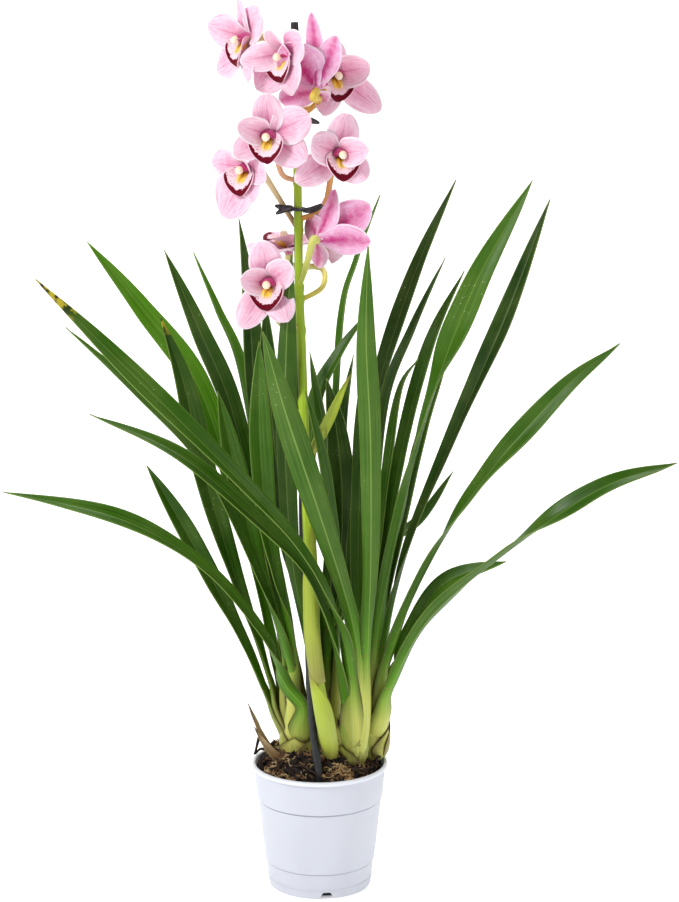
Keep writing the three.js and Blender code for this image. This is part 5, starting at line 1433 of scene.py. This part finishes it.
def makeFlower(index, spec):
    forward = compass(spec["turn"], spec["tip"])
    right = Vector((0, 0, 1)).cross(forward).normalized()
    up = forward.cross(right)
    centre = Vector(spec["at"])
    chance = random.Random(100 + index)
    parts = []

    def at(r, u, f):
        return centre + right * r + up * u + forward * f

    for k, (angle, reach, breadth, cup) in enumerate(spec["tepals"]):
        isPetal = k in (1, 2)
        a = math.radians(angle)
        outward = right * math.sin(a) + up * math.cos(a)
        points = [centre + outward * 2 + forward * (0.6 if isPetal else -2)]
        for share, extra in ((0.35, 8), (0.35, 0), (0.3, -12)):
            bend = math.radians(cup + extra)
            step = flowerForm["tepalLength"] * reach * share
            points.append(points[-1] + outward * math.cos(bend) * step + forward * math.sin(bend) * step)
        count = flowerForm["stations"]
        path = smoothPath(points, count)
        cupAngle = math.radians(cup)
        facing = forward * math.cos(cupAngle) - outward * math.sin(cupAngle)
        twist = chance.uniform(-14, 14)
        facings, sections = [], []
        width = breadth * flowerForm["petalWidth" if isPetal else "sepalWidth"]
        for i, tangent in enumerate(tangents(path)):
            u = i / (count - 1)
            facings.append(Matrix.Rotation(math.radians(twist * u), 3, tangent) @ facing)
            curl = lerp(0.75, -0.55 if cup < 50 else 0.2, smooth(u * 1.1))
            curl = max(curl, 0.011) if curl >= 0 else min(curl, -0.007)
            sections.append((max(width / 2 * tepalShare(u), 0.3), lerp(10, 2, u), curl))
        parts.append(blade(f"tepal.{index}.{k}", path, facings, sections,
                           (finishes["tepalFront"], finishes["tepalBack"]), flowerForm["thickness"],
                           flowerForm["columns"], flowerForm["ripple"], flowerForm["ripples"], index * 7 + k))

    # the lip: a scoop with raised side lobes and a front lobe that turns down
    count = lipForm["stations"]
    lipPath = smoothPath([at(0, u, f) for u, f in lipForm["path"]], count)
    lipFacing = (up * 0.7 + forward * 0.7).normalized()
    lipSections = []
    for i in range(count):
        u = i / (count - 1)
        outline = lerp(0.42, 1, smooth(u / 0.5))
        end = 1 if u < 0.48 else max(1 - ((u - 0.48) / 0.52) ** 1.45, 0) ** 0.8
        halfWidth = max(lipForm["halfWidth"] * spec.get("lip", 1) * outline * end, 0.5)
        lipSections.append((halfWidth, lerp(14, 2, u), lerp(1.25, 0.25, smooth((u - 0.1) / 0.7))))
    parts.append(blade(f"lip.{index}", lipPath, [lipFacing] * count, lipSections,
                       (finishes["lip"], finishes["lipBack"]), lipForm["thickness"], lipForm["columns"],
                       lipForm["ripple"], lipForm["ripples"], index + 50))
    for side in (-1, 1):
        ridge = smoothPath([at(side * r, u, f) for r, u, f in lipForm["callus"]], 16)
        parts.append(tube(f"callus.{index}.{side}", ridge,
                          [0.9 + 1.6 * math.sin(math.pi * min(i / 13,
                                                              1)) ** 0.7 * (1 - i / 30) for i in range(16)],
                          finishes["callus"], 12))
    core = smoothPath([at(0, u, f) for u, f in columnForm["core"]], 18)
    parts.append(tube(f"column.core{index}", core, [lerp(3.2, 2.2, i / 17) for i in range(18)],
                      finishes["columnInside"], 14))
    ridge = smoothPath([at(0, u, f) for u, f in columnForm["hood"]], 26)
    hood = [(lerp(5.6, 9.6,
                  smooth(i / 17)) * (1 if i < 20 else math.sqrt(max(1 - ((i - 19) / 7.5) ** 2, 0.02))), 0,
             lerp(1.5, 1.3, i / 25)) for i in range(26)]
    parts.append(blade(f"column.hood{index}", ridge, [-up - forward * 0.1] * 26, hood,
                       (finishes["columnInside"], finishes["column"]), columnForm["hoodThickness"],
                       15, 0.3, 60, index))
    cap = smoothPath([at(0, u, f) for u, f in columnForm["cap"]], 14)
    parts.append(tube(f"antherCap.{index}", cap,
                      [columnForm["capRadius"] * math.sin(math.pi * (0.12 + 0.8 * i / 13)) ** 0.6
                       for i in range(14)],
                      finishes["antherCap"], 16))
    start, end = stalkTones[index]
    stalkFinish = streakedFinish(f"fleshyStalk{index + 1}", [(0, start), (0.7, end), (1, end)], 0.42, 0.18)
    node = atHeight(stemPath, stem["flowerNodes"][index])
    stalk = smoothPath([node] + spec["via"] + [at(0, 0, -spec.get("neck", 13)), at(0, 0, -2)], 40)
    parts.append(tube(f"stalk.{index}", stalk, [lerp(2.2, 3.7, (i / 39) ** 2) for i in range(40)],
                      stalkFinish, 14))
    return joinPieces(f"flower.{index + 1}", parts)


for index, spec in enumerate(flowers):
    place(makeFlower(index, spec), "petal", f"flower_{index + 1}")
print("flowers made")

# The clips that tie the stem to the stake.
# Wings: the side, the length, how far each rises over it, and how far it leans forward.
clips = [
    {"node": "support_clip_1", "height": 599,
     "wings": [(-1, 15, 3.4, -1.5), (-1, 14, -4.6, 4.5), (1, 20, 6.5, 6.5)]},
    {"node": "support_clip_2", "height": 671, "wings": [(1, 15, -3.0, -5.5)]},
]
clipForm = {"bandRadius": 1.5, "clear": 1.2, "wingWidth": 6.4, "wingThickness": 1.4}


def makeClip(index, spec):
    onStem, onStake = atHeight(stemPath, spec["height"]), atHeight(stakePath, spec["height"])
    middle = (onStem + onStake) / 2
    along = onStake - onStem
    along.z = 0
    reach = along.length / 2 + stake["radius"] + clipForm["clear"]
    along.normalize()
    across = Vector((along.y, -along.x, 0))
    width = stake["radius"] + clipForm["clear"] + 0.4
    loop = [middle + along * reach * math.cos(a) + across * width * math.sin(a)
            for a in (2 * math.pi * k / 40 for k in range(41))]
    parts = [tube(f"clip.band{index}", loop, [clipForm["bandRadius"]] * 41, finishes["clip"], 12)]
    for k, (side, length, rise, lean) in enumerate(spec["wings"]):
        start = middle + Vector((side * (width - 0.6), -3 - k, rise * -0.2))
        path = smoothPath([start, start + Vector((side * length * 0.35, -lean * 0.4, rise * 0.1)),
                           start + Vector((side * length * 0.75, -lean * 0.8, rise * 0.65)),
                           start + Vector((side * length, -lean, rise))], 24)
        shape = [(max(clipForm["wingWidth"] / 2 * math.sin(math.pi * (0.18 + 0.76 * i / 23)) ** 0.7, 0.6),
                  0, 0.5)
                 for i in range(24)]
        facing = Vector((0, -0.8, 0.6))
        parts.append(blade(f"clip.wing{index}.{k}", path, [facing] * 24, shape,
                           (finishes["clip"], finishes["clip"]),
                           clipForm["wingThickness"], 9))
    return joinPieces(f"clip.{index + 1}", parts)


for index, spec in enumerate(clips):
    place(makeClip(index, spec), "clip_plastic", spec["node"])
print("clips made")

# Floor, lamps and camera, in metres.
studio = {"floorWidth": 13, "floorFront": -5, "floorBack": 4.4, "curve": 1.2, "wall": 4, "aim": (0, 0, 0.4),
          "skyStrength": 0.34, "camera": (0.0175, -1.9, 0.76), "tilt": 79, "lens": 89.8}


def makeFloor():
    profile = [(studio["floorFront"], 0), (studio["floorBack"], 0)]
    profile += [(studio["floorBack"] + studio["curve"] * math.sin(a), studio["curve"] * (1 - math.cos(a)))
                for a in (math.pi / 2 * k / 16 for k in range(1, 17))]
    profile.append((studio["floorBack"] + studio["curve"], studio["wall"]))
    made = bpy.data.meshes.new("floor")
    w = studio["floorWidth"] / 2
    points = [(x, y, z) for y, z in profile for x in (-w, w)]
    made.from_pydata(points, [], [(2 * i, 2 * i + 1, 2 * i + 3, 2 * i + 2) for i in range(len(profile) - 1)])
    paper, tree, surface = newFinish("studioPaper", {"Roughness": 0.9, "Base Color": linear("#f7f7f7"),
                                                     "Emission Color": linear("#ffffff")})
    # the paper glows more behind the plant, where the lamps no longer reach it
    where = addNode(tree, "ShaderNodeSeparateXYZ",
                    links={0: addNode(tree, "ShaderNodeTexCoord").outputs["Object"]})
    glow = addNode(tree, "ShaderNodeMapRange", {1: 0.8, 2: 2.2, 3: 0.42, 4: 0.85}, {0: where.outputs["Y"]})
    tree.links.new(glow.outputs[0], surface.inputs["Emission Strength"])
    made.materials.append(paper)
    floor = addObject("floor", made, soft=True)


# each lamp's place, its width and its power in watts
lamps = {"key": ((-1.5, -1.3, 1.9), 0.8, 38), "fill": ((1.8, -1.4, 1.2), 1.3, 9),
         "top": ((0.2, 0.5, 2.2), 1.0, 22)}


def addLamp(name, location, size, power):
    lamp = bpy.data.lights.new(name, "AREA")
    lamp.shape, lamp.size, lamp.energy = "DISK", size, power
    made = addObject(name, lamp)
    made.location = location
    made.rotation_euler = (Vector(studio["aim"]) - Vector(location)).to_track_quat("-Z", "Y").to_euler()


makeFloor()
for name, spec in lamps.items():
    addLamp(name, *spec)
world = bpy.data.worlds.new("studio")
world.use_nodes = True
sky = world.node_tree.nodes["Background"]
sky.inputs["Color"].default_value = linear("#fbfbfd")
sky.inputs["Strength"].default_value = studio["skyStrength"]
bpy.context.scene.world = world

camera = addObject("camera", bpy.data.cameras.new("camera"))
camera.location = studio["camera"]
camera.rotation_euler = (math.radians(studio["tilt"]), 0, 0)
camera.data.lens = studio["lens"]
bpy.context.scene.camera = camera
